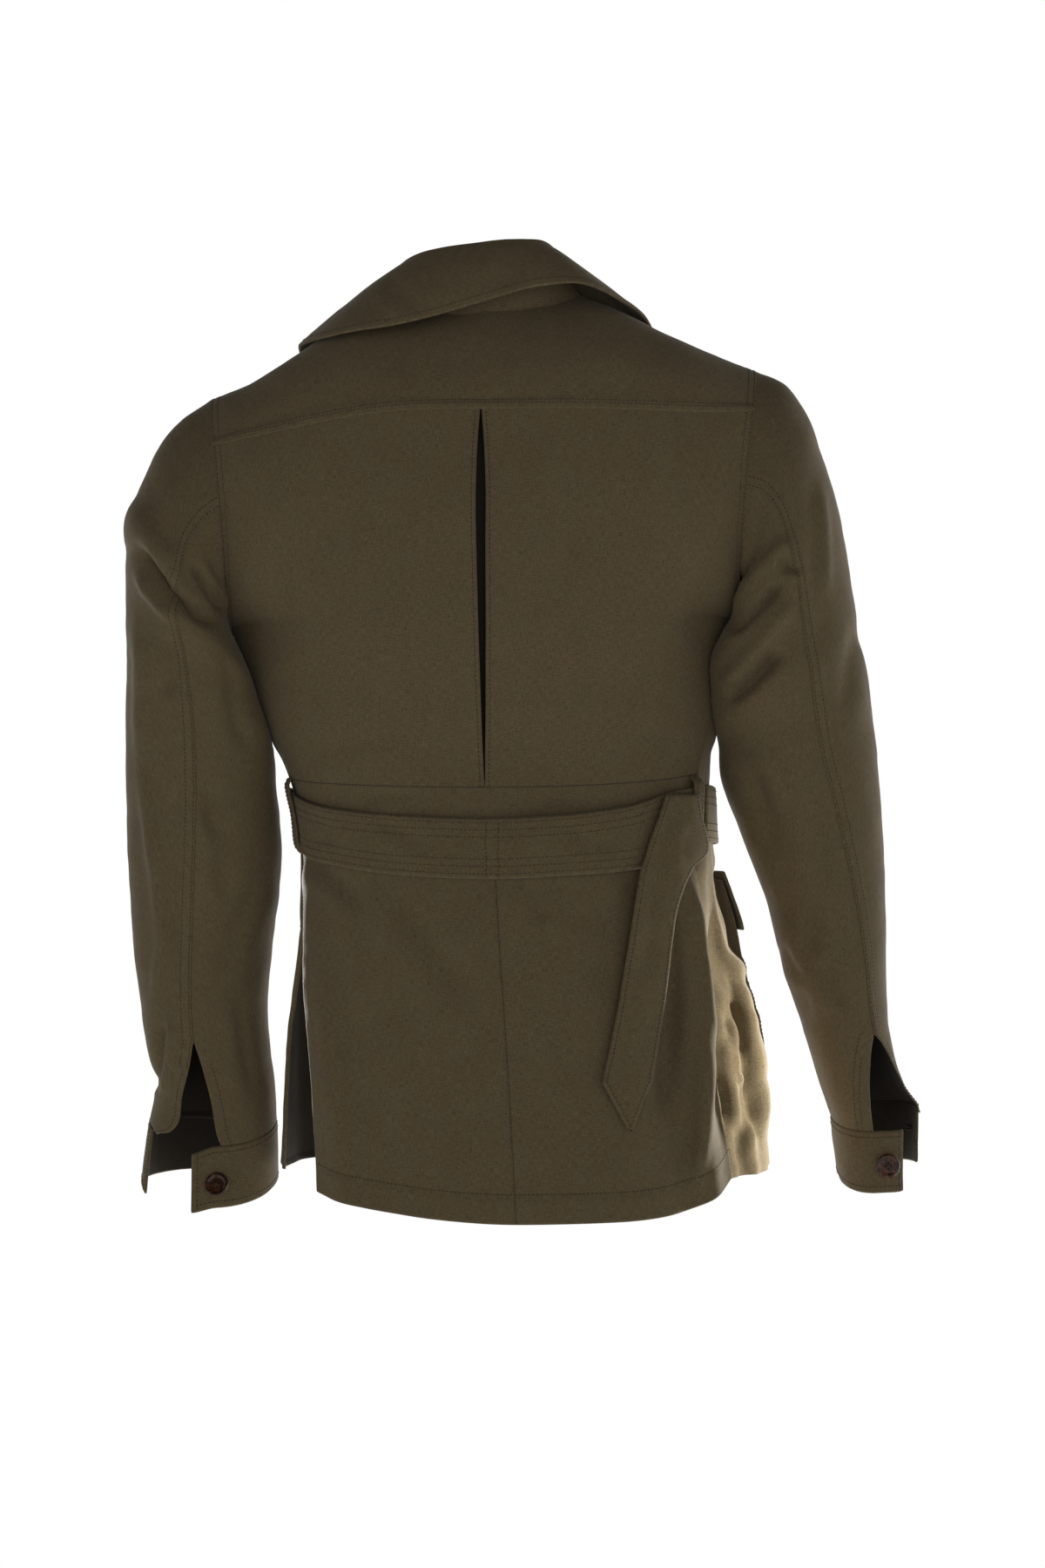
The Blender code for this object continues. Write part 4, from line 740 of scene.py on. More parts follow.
def linen_material(name, dark, light, red):
    """Plain-woven linen: uneven threads both ways, flecks, soft nap."""
    m = bpy.data.materials.new(name)
    m.use_nodes = True
    nt = m.node_tree
    b = nt.nodes["Principled BSDF"]
    uv = node(nt, "ShaderNodeUVMap", -1700, 0, uv_map="cloth").outputs["UV"]
    weft = noise(nt, -1300, 300, stretched(nt, -1500, 300, uv, (200.0, 1350.0, 1.0)), 1.0, 3.0, 0.6)
    warp = noise(nt, -1300, 50, stretched(nt, -1500, 50, uv, (1400.0, 190.0, 1.0)), 1.0, 3.0, 0.6)
    fleck = noise(nt, -1300, -200, stretched(nt, -1500, -200, uv, (1400.0, 1400.0, 1.0)), 1.0, 2.0, 0.7)
    broad = noise(nt, -1300, -450, stretched(nt, -1500, -450, uv, (34.0, 30.0, 1.0)), 1.0, 6.0, 0.72)
    streak = noise(nt, -1300, -700, stretched(nt, -1500, -700, uv, (60.0, 22.0, 1.0)), 1.0, 5.0, 0.65)
    threads = math_node(nt, -1050, 200, "ADD", weft.outputs["Fac"], warp.outputs["Fac"])
    threads = math_node(nt, -900, 200, "ADD", threads, fleck.outputs["Fac"])
    threads = math_node(nt, -750, 200, "MULTIPLY", threads, 0.3333)
    tone = ramp(nt, -600, 250, ((0.36, dark), (0.50, tuple((d + l) / 2 for d, l in zip(dark, light))), (0.64, light)))
    nt.links.new(threads, tone.inputs["Fac"])
    hue = ramp(nt, -600, -100, ((0.42, (1.0, 1.0, 1.0)), (0.66, red)))
    nt.links.new(broad.outputs["Fac"], hue.inputs["Fac"])
    col = mix_rgb(nt, -380, 200, "MULTIPLY", 1.0, tone.outputs["Color"], hue.outputs["Color"])
    worn = ramp(nt, -600, -400, ((0.35, (0.965, 0.965, 0.965)), (0.65, (1.03, 1.03, 1.025))))
    nt.links.new(streak.outputs["Fac"], worn.inputs["Fac"])
    col = mix_rgb(nt, -200, 200, "MULTIPLY", 1.0, col, worn.outputs["Color"])
    nt.links.new(col, b.inputs["Base Color"])
    dry = ramp(nt, -600, -650, ((0.3, (0.82, 0.82, 0.82)), (0.7, (0.97, 0.97, 0.97))))
    nt.links.new(threads, dry.inputs["Fac"])
    nt.links.new(dry.outputs["Color"], b.inputs["Roughness"])
    bump = node(nt, "ShaderNodeBump", -200, -300)
    bump.inputs["Strength"].default_value = 0.35
    bump.inputs["Distance"].default_value = 0.0005
    nt.links.new(threads, bump.inputs["Height"])
    nt.links.new(bump.outputs["Normal"], b.inputs["Normal"])
    b.inputs["Specular IOR Level"].default_value = 0.18
    b.inputs["Sheen Weight"].default_value = 0.16
    b.inputs["Sheen Roughness"].default_value = 0.42
    b.inputs["Sheen Tint"].default_value = (0.95, 0.90, 0.80, 1.0)
    return m


def thread_material(name, dark, light):
    m = bpy.data.materials.new(name)
    m.use_nodes = True
    nt = m.node_tree
    b = nt.nodes["Principled BSDF"]
    at = node(nt, "ShaderNodeTexCoord", -900, 0).outputs["Object"]
    ply = noise(nt, -500, 0, stretched(nt, -700, 0, at, (900.0, 900.0, 900.0)), 1.0, 2.0)
    tone = ramp(nt, -300, 0, ((0.35, dark), (0.65, light)))
    nt.links.new(ply.outputs["Fac"], tone.inputs["Fac"])
    nt.links.new(tone.outputs["Color"], b.inputs["Base Color"])
    bump = node(nt, "ShaderNodeBump", -300, -300)
    bump.inputs["Strength"].default_value = 0.3
    bump.inputs["Distance"].default_value = 0.0002
    nt.links.new(ply.outputs["Fac"], bump.inputs["Height"])
    nt.links.new(bump.outputs["Normal"], b.inputs["Normal"])
    b.inputs["Roughness"].default_value = 0.75
    b.inputs["Specular IOR Level"].default_value = 0.25
    return m


def horn_material():
    """Polished mottled brown, as cut horn."""
    m = bpy.data.materials.new("mottled_horn")
    m.use_nodes = True
    nt = m.node_tree
    b = nt.nodes["Principled BSDF"]
    at = node(nt, "ShaderNodeTexCoord", -1100, 0).outputs["Object"]
    cloud = noise(nt, -700, 100, stretched(nt, -900, 100, at, (150.0, 260.0, 150.0)), 1.0, 5.0, 0.6)
    cloud.inputs["Distortion"].default_value = 1.4
    grain = noise(nt, -700, -200, stretched(nt, -900, -200, at, (1400.0, 220.0, 600.0)), 1.0, 3.0)
    tone = ramp(nt, -450, 100, ((0.34, (0.014, 0.005, 0.003)), (0.50, (0.050, 0.016, 0.007)),
                                (0.62, (0.150, 0.048, 0.015)), (0.76, (0.30, 0.12, 0.038))))
    nt.links.new(cloud.outputs["Fac"], tone.inputs["Fac"])
    col = mix_rgb(nt, -200, 100, "MULTIPLY", 0.35, tone.outputs["Color"], grain.outputs["Color"])
    nt.links.new(col, b.inputs["Base Color"])
    dull = ramp(nt, -450, -250, ((0.3, (0.16, 0.16, 0.16)), (0.7, (0.30, 0.30, 0.30))))
    nt.links.new(grain.outputs["Fac"], dull.inputs["Fac"])
    nt.links.new(dull.outputs["Color"], b.inputs["Roughness"])
    b.inputs["Coat Weight"].default_value = 0.35
    b.inputs["Coat Roughness"].default_value = 0.12
    b.inputs["Specular IOR Level"].default_value = 0.35
    return m


LINEN_MAT = linen_material("olive_linen", (0.078, 0.0592, 0.0302), (0.214, 0.1665, 0.0925), (1.05, 0.985, 0.955))
# painted shade: a darker copy of the linen for faces in the hollows of the jacket, standing in for the shade a wearer's
# body would cast there
SHADED_INSIDE_MAT = linen_material("olive_linen_painted_shade", (0.022, 0.018, 0.013), (0.045, 0.036, 0.026), (1.03, 0.99, 0.97))
THREAD_MAT = thread_material("olive_thread", (0.058, 0.046, 0.028), (0.105, 0.085, 0.053))
HORN_MAT = horn_material()


# ---------------------------------------------------------------- objects
PIECES = {}


def new_object(name, me, mat):
    me.materials.append(mat)
    ob = bpy.data.objects.new(name, me)
    bpy.context.scene.collection.objects.link(ob)
    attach(ob, "root")
    return ob


def shell(node_name, g, sign, wall=LAYER, held="hung", rests_on=(), painted_shade_on="inner", also=()):
    """Closed thin shell on a grid of points, with rounded rims; stands for the CAD node of its name."""
    n, m = g.shape[:2]
    nrm = grid_normals(g, sign)
    wall = np.broadcast_to(np.asarray(wall, float), (n, m))
    half = nrm * (wall / 2)[..., None]
    ring = ([(0, j) for j in range(m)] + [(i, m - 1) for i in range(1, n)]
            + [(n - 1, j) for j in range(m - 2, -1, -1)] + [(i, 0) for i in range(n - 2, 0, -1)])
    away = np.zeros_like(g)
    away[0] += unit(g[0] - g[1])
    away[-1] += unit(g[-1] - g[-2])
    away[:, 0] += unit(g[:, 0] - g[:, 1])
    away[:, -1] += unit(g[:, -1] - g[:, -2])
    away = unit(away)
    rim = np.array([g[i, j] + away[i, j] * wall[i, j] * 0.5 for i, j in ring])
    verts = np.concatenate([(g + half).reshape(-1, 3), (g - half).reshape(-1, 3), rim]) * MM
    idx = np.arange(n * m).reshape(n, m)
    quad = np.stack([idx[:-1, :-1], idx[:-1, 1:], idx[1:, 1:], idx[1:, :-1]], axis=-1).reshape(-1, 4)
    if sign < 0:
        quad = quad[:, ::-1]
    back = quad[:, ::-1] + n * m
    r = len(ring)
    a = np.array([idx[i, j] for i, j in ring])
    b = np.roll(a, -1)
    c = 2 * n * m + np.arange(r)
    d = np.roll(c, -1)
    if sign > 0:
        upper, lower = np.stack([b, a, c, d], axis=-1), np.stack([d, c, a + n * m, b + n * m], axis=-1)
    else:
        upper, lower = np.stack([a, b, d, c], axis=-1), np.stack([c, d, b + n * m, a + n * m], axis=-1)
    faces = np.concatenate([quad, back, upper, lower])
    me = bpy.data.meshes.new(node_name + "_cloth")
    me.from_pydata(verts.tolist(), [], faces.tolist())
    # flat position of the threads, in metres
    u = np.concatenate([np.zeros((n, 1)), np.cumsum(np.linalg.norm(np.diff(g, axis=1), axis=-1), axis=1)], axis=1)
    v = np.concatenate([np.zeros((1, m)), np.cumsum(np.linalg.norm(np.diff(g, axis=0), axis=-1), axis=0)], axis=0)
    u = u - u[:, m // 2:m // 2 + 1]
    shift = np.array([len(PIECES) * 0.37, len(PIECES) * 0.53])
    flat = np.stack([u, v], axis=-1).reshape(-1, 2) * MM + shift
    flat = np.concatenate([flat, flat, flat[a]])
    layer = me.uv_layers.new(name="cloth")
    layer.data.foreach_set("uv", flat[faces.ravel()].astype(np.float32).ravel())
    me.shade_smooth()
    me.update()
    ob = new_object(node_name + "_cloth", me, LINEN_MAT)
    # painted shade: the inner faces, or all faces, are given the darker linen as the shade inside the jacket
    me.materials.append(SHADED_INSIDE_MAT)
    layers = np.zeros(len(faces), dtype=np.int32)
    if painted_shade_on == "inner":
        layers[len(quad):2 * len(quad)] = 1
    elif painted_shade_on == "all":
        layers[:] = 1
    me.polygons.foreach_set("material_index", layers)
    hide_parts(node_name, *also)
    PIECES[node_name] = dict(grid=g, normals=nrm, wall=wall, object=ob, held=held, rests_on=rests_on, stitches=[])
    return ob


def along_edge(name, where, d, first=0.0, last=1.0, step=0.0):
    """Line at distance d (mm) from one edge of a piece: points on its outer face and normals."""
    p = PIECES[name]
    g, nr, wl = p["grid"], p["normals"], p["wall"]
    if where in ("start", "stop"):
        g, nr, wl = g.swapaxes(0, 1), nr.swapaxes(0, 1), wl.swapaxes(0, 1)
    if where in ("last", "stop"):
        g, nr, wl = g[::-1], nr[::-1], wl[::-1]
    m = g.shape[1]
    lo, hi = int(round(first * (m - 1))), int(round(last * (m - 1)))
    pts, nrs = [], []
    for j in range(lo, hi + 1):
        acc = np.concatenate([[0.0], np.cumsum(np.linalg.norm(np.diff(g[:, j], axis=0), axis=-1))])
        dj = d if np.isscalar(d) else d[j]
        dj = min(dj, acc[-1])
        i = min(np.searchsorted(acc, dj, side="right") - 1, len(acc) - 2)
        f = (dj - acc[i]) / max(acc[i + 1] - acc[i], 1e-9)
        nn = nr[i, j] * (1 - f) + nr[i + 1, j] * f
        nn /= max(np.linalg.norm(nn), 1e-9)
        pts.append(g[i, j] * (1 - f) + g[i + 1, j] * f + nn * (wl[i, j] / 2))
        nrs.append(nn)
    return np.array(pts), np.array(nrs)


def on_piece(name, view_line):
    """Line drawn on a piece as it appears from the back (view units)."""
    p = PIECES[name]
    g, nr, wl = p["grid"].reshape(-1, 3), p["normals"].reshape(-1, 3), p["wall"].reshape(-1)
    q = seen(g)
    line = np.array(view_line, float)
    acc = np.concatenate([[0.0], np.cumsum(np.linalg.norm(np.diff(line, axis=0), axis=1))])
    at = np.linspace(0.0, acc[-1], max(int(acc[-1] / 4.0), 2))
    pts, nrs = [], []
    for x, y in zip(np.interp(at, acc, line[:, 0]), np.interp(at, acc, line[:, 1])):
        d = np.linalg.norm(q - (x, y), axis=1)
        near = np.argsort(d)[:6]
        w = 1.0 / (d[near] + 0.2)
        w /= w.sum()
        nn = unit((nr[near] * w[:, None]).sum(axis=0))
        pts.append((g[near] * w[:, None]).sum(axis=0) + nn * wl[near[0]] / 2)
        nrs.append(nn)
    return np.array(pts), np.array(nrs)


STITCH = dict(pitch=3.3, length=2.5, width=0.72, height=0.42)


def sew(piece, line, pitch=None, width=None):
    """Row of machine stitches along a line; kept until the piece's rows are joined."""
    pts, nrs = line
    acc = np.concatenate([[0.0], np.cumsum(np.linalg.norm(np.diff(pts, axis=0), axis=1))])
    if acc[-1] < 4.0:
        return
    pitch = pitch or STITCH["pitch"]
    at = np.arange(pitch / 2, acc[-1], pitch)
    mid = np.stack([np.interp(at, acc, pts[:, i]) for i in range(3)], axis=-1)
    nr = unit(np.stack([np.interp(at, acc, nrs[:, i]) for i in range(3)], axis=-1))
    ahead = np.stack([np.interp(at + 0.8, acc, pts[:, i]) - np.interp(at - 0.8, acc, pts[:, i]) for i in range(3)], axis=-1)
    t = unit(ahead - nr * (ahead * nr).sum(axis=-1, keepdims=True))
    b = np.cross(nr, t)
    PIECES[piece]["stitches"].append((mid, t, b, nr, width or STITCH["width"]))


def join_stitches(piece):
    """All stitch rows of a piece as one mesh of small rounded threads."""
    rows = PIECES[piece]["stitches"]
    if not rows:
        return None
    verts, faces, n = [], [], 0
    L, H = STITCH["length"], STITCH["height"]
    for mid, t, b, nr, W in rows:
        for p, tt, bb, nn in zip(mid, t, b, nr):
            ring = []
            for f in (-0.34, 0.34):
                for cb, cn in ((1.0, 0.0), (0.0, 1.0), (-1.0, 0.0), (0.0, -0.6)):
                    ring.append(p + tt * (f * L) + bb * (cb * W / 2) + nn * (cn * H))
            tips = [p - tt * (0.5 * L) - nn * 0.12, p + tt * (0.5 * L) - nn * 0.12]
            verts += ring + tips
            for i in range(4):
                j = (i + 1) % 4
                faces.append((n + i, n + j, n + 4 + j, n + 4 + i))
                faces.append((n + 8, n + j, n + i))
                faces.append((n + 9, n + 4 + i, n + 4 + j))
            n += 10
    me = bpy.data.meshes.new(piece + "_stitching")
    me.from_pydata((np.array(verts) * MM).tolist(), [], faces)
    bm = bmesh.new()
    bm.from_mesh(me)
    bmesh.ops.recalc_face_normals(bm, faces=bm.faces[:])
    bm.to_mesh(me)
    bm.free()
    me.shade_smooth()
    ob = new_object(piece + "_stitching", me, THREAD_MAT)
    return ob


# ---------------------------------------------------------------- torso
for side, tag in ((+1, "left"), (-1, "right")):
    # upper back: folded edge at the pleat, lapped seams elsewhere
    up = spread(295.0, 3.4, FINE, FINE)[:, None]
    f = spread(205.0, 3.4, FINE, FINE)[None, :]
    t = 1.0 + (yoke_line(side * f) - 1.0) * up
    slit = (SLIT("half", t) + 1.2) / 210.0
    s = side * (slit + (1 - slit) * f)
    g = body(s, t, False, 0.0, "back_" + tag)
    sign = -side
    g = dress(g, sign, "back_" + tag)
    hem_in = g[:, 0].copy()
    to_slit = unit(g[:, 0] - g[:, 2])
    nrm = grid_normals(g, sign)[:, 0]
    turn = [(-14.0, -2.9), (-6.0, -2.9), (-1.5, -2.7), (0.6, -2.1), (1.1, -1.2), (0.9, -0.45)]
    curl = np.stack([hem_in + to_slit * a + nrm * b for a, b in turn], axis=1)
    g = np.concatenate([curl, g], axis=1)
    g = tuck(g, sign, "last", 6.0, 1.6)
    shell("back_" + tag, g, sign, rests_on=["yoke"])

    # skirt back, with a doubled hem and turned vent edge
    t = (T_BAND * spread(305.0, 3.4, FINE))[:, None]
    f = spread(165.0, 3.2, FINE, FINE)[None, :]
    s = side * (f + 0 * t)
    g = body(s, t + 0 * s, False, 0.0, "skirt_back_" + tag)
    g = dress(g, sign, "skirt_back_" + tag)
    up = (t * 305.0 / T_BAND) + 0 * f
    edge_in = (1 - f) * 165.0 + 0 * t
    double = np.maximum(1 - smoothstep(20.0, 23.5, up), (1 - smoothstep(14.0, 17.5, edge_in)) * (1 - smoothstep(185.0, 200.0, up)))
    g = g + grid_normals(g, sign) * (0.35 * double)[..., None]
    if side > 0:
        g = tuck(g, sign, "start", 6.0, 1.5)
    else:
        lap = np.exp(-(f * 165.0 / 6.0) ** 2) + 0 * t
        g = g + grid_normals(g, sign) * (0.5 * lap)[..., None]
    wall = LAYER + 0.9 * double
    if side > 0:
        wall = np.concatenate([np.full((wall.shape[0], 3), LAYER), wall], axis=1)
    shell("skirt_back_" + tag, g, sign, wall, rests_on=["waistband_back"])

    # front
    rows = np.concatenate([1.0 * spread(246.0, 3.0, FINE), 1.0 + 2.0 * spread(500.0, 4.4)[1:]])[:, None]
    inner = NECKLINE("s", rows)
    f = np.concatenate([0.55 * spread(150.0, 4.6, (0.0, 1.2, 3.0, 5.5, 8.5)), 0.55 + 0.45 * spread(122.0, 2.3)[1:]])[None, :]
    s = side * (inner + (1 - inner) * f)
    tt = np.broadcast_to(rows, s.shape)
    lap = (2.6 if side > 0 else -1.2) * (1 - smoothstep(0.05, 0.40, side * s)) * (1 - smoothstep(2.1, 2.6, tt))
    sign = side
    g = body(s, tt, True, lap, "front_" + tag)
    g = dress(g, sign, "front_" + tag, 1.3, (-0.35, 0.05) if side > 0 else (-0.80, -0.45))
    g = tuck(g, sign, "stop", np.where(rows[:, 0] < T_VENT - 0.02, 0.4, 6.0)[:, None], 1.7)
    g = tuck(g, sign, "last", 5.0, 1.5)
    double = np.zeros(g.shape[:2])
    up = np.concatenate([rows[:, 0] * 246.0, [760.0, 760.0, 760.0]])
    double = np.maximum(double, (1 - smoothstep(20.0, 24.0, up))[:, None])
    inn = np.concatenate([f[0] * 270.0, [270.0] * 3])
    double = np.maximum(double, (1 - smoothstep(26.0, 30.0, inn))[None, :])
    shell("front_" + tag, g, sign, LAYER + 0.8 * double, rests_on=["yoke"], also=["front_skirt_" + tag])

    # lapel
    low = 2.14 if side > 0 else 2.42
    rows = (low + (2.61 - low) * spread(120.0 if side > 0 else 55.0, 3.5))[:, None]
    width = LAPEL("width", 2.14 + (rows - low) * 0.47 / (2.61 - low))
    f = spread(60.0, 3.5)[None, :]
    s = side * (NECKLINE("s", rows) + 0.012 + width * f)
    over = 2.6 + np.interp(f, (0.0, 0.33, 0.67, 1.0), (0.6, 2.4, 2.2, 1.2)) + (2.0 if side > 0 else 0.0)
    g = body(s, np.broadcast_to(rows, s.shape), True, np.broadcast_to(over, s.shape), "front_" + tag)
    g = dress(g, sign, "lapel", 1.3)
    shell("lapel_" + tag, g, sign, 2.0, held="folded", rests_on=["front_" + tag])

# pleat underlay
t = (1.0 + 1.75 * spread(295.0, 5.0))[:, None]
s = np.linspace(-0.20, 0.20, 24)[None, :]
g = body(s + 0 * t, t + 0 * s, False, -4.6 - 7.0 * np.exp(-(s / 0.06) ** 2) + 0 * t)
g = tuck(tuck(dress(g, -1, "back_pleat"), -1, "last", 12.0, 2.0), -1, "first", 6.0, 0.5)
# painted shade: the whole underlay is given the darker linen, as the shade deep in the pleat
shell("back_pleat", g, -1, painted_shade_on="all", held="folded", rests_on=["back_left", "back_right"])

# waistband
t = (T_BAND + 0.125 * spread(46.0, 3.2))[:, None]
f = spread(335.0, 3.4)[None, :]
s = -1.0 + 2.0 * f
g = body(s + 0 * t, t + 0 * s, False, -0.3)
g = dress(g, -1, "waistband_back")
g = tuck(g, -1, "last", 6.0, 1.5)
shell("waistband_back", g, -1, rests_on=["back_left", "back_right"])

# yoke: its seam allowance makes a low ridge above the seam
v = spread(104.0, 3.2, FINE, FINE)[:, None]
f = spread(470.0, 3.4, FINE, FINE)[None, :]
s = -1.0 + 2.0 * f
g = yoke_surface(s + 0 * v, v + 0 * s)
g = dress(g, -1, "yoke")
ridge = 0.9 * (1 - smoothstep(4.0, 9.0, v * 104.0)) + 0 * s
g = g + grid_normals(g, -1) * ridge[..., None]
shell("yoke", g, -1, LAYER + 0.5 * ridge, held="draped")

# collar, two layers
c = 12.0 * spread(560.0, 3.4)[:, None]
w = np.concatenate([np.linspace(0.0, 0.36, 11), np.linspace(0.36, 0.44, 8)[1:], 0.44 + 0.56 * spread(72.0, 3.0, (), (0.0, 1.0, 2.4, 4.2, 6.4))[1:]])[None, :]
g = collar_surface(c + 0 * w, w + 0 * c)
smooth = g.copy()
for _ in range(6):
    smooth[1:-1] = (smooth[:-2] + 2 * smooth[1:-1] + smooth[2:]) / 4
g = smooth
g = dress(g, 1, "collar", 0.9)
thick = 1.6 + 0.9 * smoothstep(0.40, 0.50, w) + 0 * c
g = tuck(g, 1, "start", 9.0, 0.0)
thick = np.concatenate([np.full((len(c), 3), 1.6), thick], axis=1)
shell("collar", g, 1, thick, painted_shade_on="none", held="folded", rests_on=["yoke", "front_left", "front_right"])

# ---------------------------------------------------------------- sleeves and cuffs
def bvh_of(*names):
    verts, faces, n = [], [], 0
    for name in names:
        me = PIECES[name]["object"].data
        co = np.empty(len(me.vertices) * 3)
        me.vertices.foreach_get("co", co)
        verts += [Vector(p) for p in co.reshape(-1, 3) / MM]
        faces += [tuple(i + n for i in p.vertices) for p in me.polygons]
        n += len(me.vertices)
    return BVHTree.FromPolygons(verts, faces)


def keep_off(g, tree, centre, gap):
    """Points of g that would lie inside or against a body are moved just off it."""
    out = g.copy()
    for i in np.ndindex(g.shape[:2]):
        p = Vector(g[i])
        at, n, _, d = tree.find_nearest(p, 14.0)
        if at is None:
            continue
        away = Vector(at) - Vector((centre[0], centre[1], at[2]))
        if n.dot(away) < 0.0:
            n = -n
        depth = (p - at).dot(n)
        if depth < gap:
            out[i] = np.array(p + n * (gap - depth))
    return out


for side, tag in ((+1, "left"), (-1, "right")):
    name = "sleeve_" + tag
    tree = bvh_of("back_" + tag, "front_" + tag)
    k = np.concatenate([2.0 * spread(75.0, 2.9, FINE), np.arange(2.05, 7.6, 0.05), np.linspace(7.6, K_CUFF, 124)])[:, None]
    seam = SLEEVE[side]("seam", k)
    ends = CUFF_END[side]
    under = np.where(k > K_SLIT, SLIT_EDGE[side]("under", k), seam)
    top = np.where(k > K_SLIT, SLIT_EDGE[side]("top", k), seam)
    fore = seam + 180.0
    f = spread(165.0, 2.9, FINE, FINE)[None, :]
    for part, first, stop in (("under", under, fore), ("top", top, fore - 360.0)):
        a = first + (stop - first) * f
        sign = -side if part == "under" else side
        g = sleeve(side, k + 0 * f, a)
        sgn = 1.0 if (grid_normals(g, 1.0)[len(k) // 2, 5] @ (g[len(k) // 2, 5] - np.array([g[len(k) // 2, :, 0].mean(), g[len(k) // 2, :, 1].mean(), g[len(k) // 2, 5, 2]]))) > 0 else -1.0
        g = dress(g, sgn, name, 1.2)
        if part == "top":
            ridge = 0.8 * (1 - smoothstep(7.0, 10.5, f * 165.0)) * (k < K_SLIT + 0.3)
            g = g + grid_normals(g, sgn) * ridge[..., None]
        else:
            g = tuck(g, sgn, "start", np.where(k[:, 0] < K_SLIT - 0.05, 5.0, 0.3)[:, None], 1.3)
        if part == "under":
            centre = (0.0, -10.0)
            off = keep_off(g, tree, centre, 2.0)
            w = smoothstep(0.8, 2.0, np.broadcast_to(k, (len(k), g.shape[1])))[..., None]
            g = g + (off - g) * w
        g = tuck(g, sgn, "first", 5.0, 1.6)
        g = tuck(g, sgn, "last", 6.0, 1.9)
        shell("sleeve_" + part + "_" + tag, g, sgn, rests_on=["yoke", "back_" + tag, "front_" + tag])

    # cuff band, two layers
    ang = (ends["start"] + (ends["end"] - ends["start"]) * spread(300.0, 3.0, (0.0, 1.2, 3.0), (0.0, 1.2, 3.0)))[None, :]
    w = spread(48.0, 3.0, (0.0, 1.2, 3.0), (0.0, 1.2, 3.0))[:, None]
    g = cuff_surface(side, ang + 0 * w, w + 0 * ang)
    mid = g.reshape(-1, 3).mean(axis=0)
    n0 = grid_normals(g, 1.0)
    sgn = 1.0 if ((n0 * (g - mid))[..., :2].sum(axis=-1).mean() > 0) else -1.0
    g = dress(g, sgn, "cuff_" + tag, 1.2)
    shell("cuff_" + tag, g, sgn, 2.2, held="folded", rests_on=["sleeve_under_" + tag, "sleeve_top_" + tag])

# ---------------------------------------------------------------- belt
f = spread(390.0, 3.2)[None, :]
s = -0.985 + 1.97 * f
w = spread(45.0, 2.8, (0.0, 1.0, 2.4), (0.0, 1.0, 2.4))[:, None]
z = BELT_BACK("bottom", s) + (BELT_BACK("top", s) - BELT_BACK("bottom", s)) * w
t = height_number(s + 0 * z, z, False)
crown = 0.6 * (1 - (2 * w - 1) ** 2)
g = body(s + 0 * t, t, False, BELT_BACK("off", s) + crown + 0 * t)
shell("belt_back", dress(g, -1, "belt_back"), -1, 2.4, held="folded", rests_on=["waistband_back", "skirt_back_left", "skirt_back_right"])

f = spread(560.0, 4.0)[None, :]
s = 0.965 - 1.93 * f
w = spread(44.0, 3.4, (0.0, 1.0, 2.4), (0.0, 1.0, 2.4))[:, None]
z = BELT_FRONT_TOP - BELT_WIDTH * (1 - w) - BELT_FRONT_DROP * (1 - s * s)
t = height_number(s + 0 * z, z, True)
g = body(s + 0 * t, t, True, BELT_OFF + 0.6 * (1 - (2 * w - 1) ** 2) + 0 * t)
shell("belt_front", dress(g, -1, "belt_front"), -1, 2.4, held="folded", rests_on=["front_left", "front_right"])

# hanging end with its straight-sided point
vf = np.concatenate([0.885 * spread(235.0, 3.0)[:-1], 0.885 + 0.115 * spread(32.0, 1.8)])
wf = spread(36.0, 2.6, (0.0, 1.0, 2.4), (0.0, 1.0, 2.4)) - 0.5
at = np.linspace(-1.0, 0.0, 81)
g = np.zeros((len(vf), len(wf), 3))
for i, vi in enumerate(vf):
    x, zc, width, off = (float(TAIL(nm, vi)) for nm in ("x", "z", "width", "off"))
    if vi > 0.885:
        width = float(np.interp(vi, (0.885, 1.0), (36.0, 1.2)))
    tz = height_number(at, np.full(81, zc), False)
    si = np.interp(x + wf * width, torso(at, tz, False)[:, 0], at)
    g[i] = body(si, height_number(si, zc + 0 * si, False), False, off + 1.2 * (1 - (2 * wf) ** 2))
shell("belt_tail", dress(g, 1, "belt_tail", 1.2), 1, 2.4, held="hung", rests_on=["belt_back"])

# belt loops
for side, tag in ((+1, "left"), (-1, "right")):
    s0, width = side * 0.958, 0.036
    high = 7.2 if side > 0 else 8.2
    z = np.interp(spread(75.0, 2.5), np.linspace(0, 1, 7), (-326.0, -331.0, -346.0, -358.0, -370.0, -380.0, -386.0))[:, None]
    off = pchip((-386.0, -380.0, -370.0, -346.0, -331.0, -326.0), (2.4, high - 1, high, high, high - 1, 2.4), z)
    s = s0 + width * np.linspace(-1, 1, 7)[None, :]
    t = height_number(s + 0 * z, z + 0 * s, False)
    g = body(s + 0 * t, t, False, off + 0.4 * (1 - ((s - s0) / width) ** 2) + 0 * t)
    shell("belt_loop_" + tag, dress(g, 1, "loop"), 1, 2.0, held="folded", rests_on=["waistband_back"])

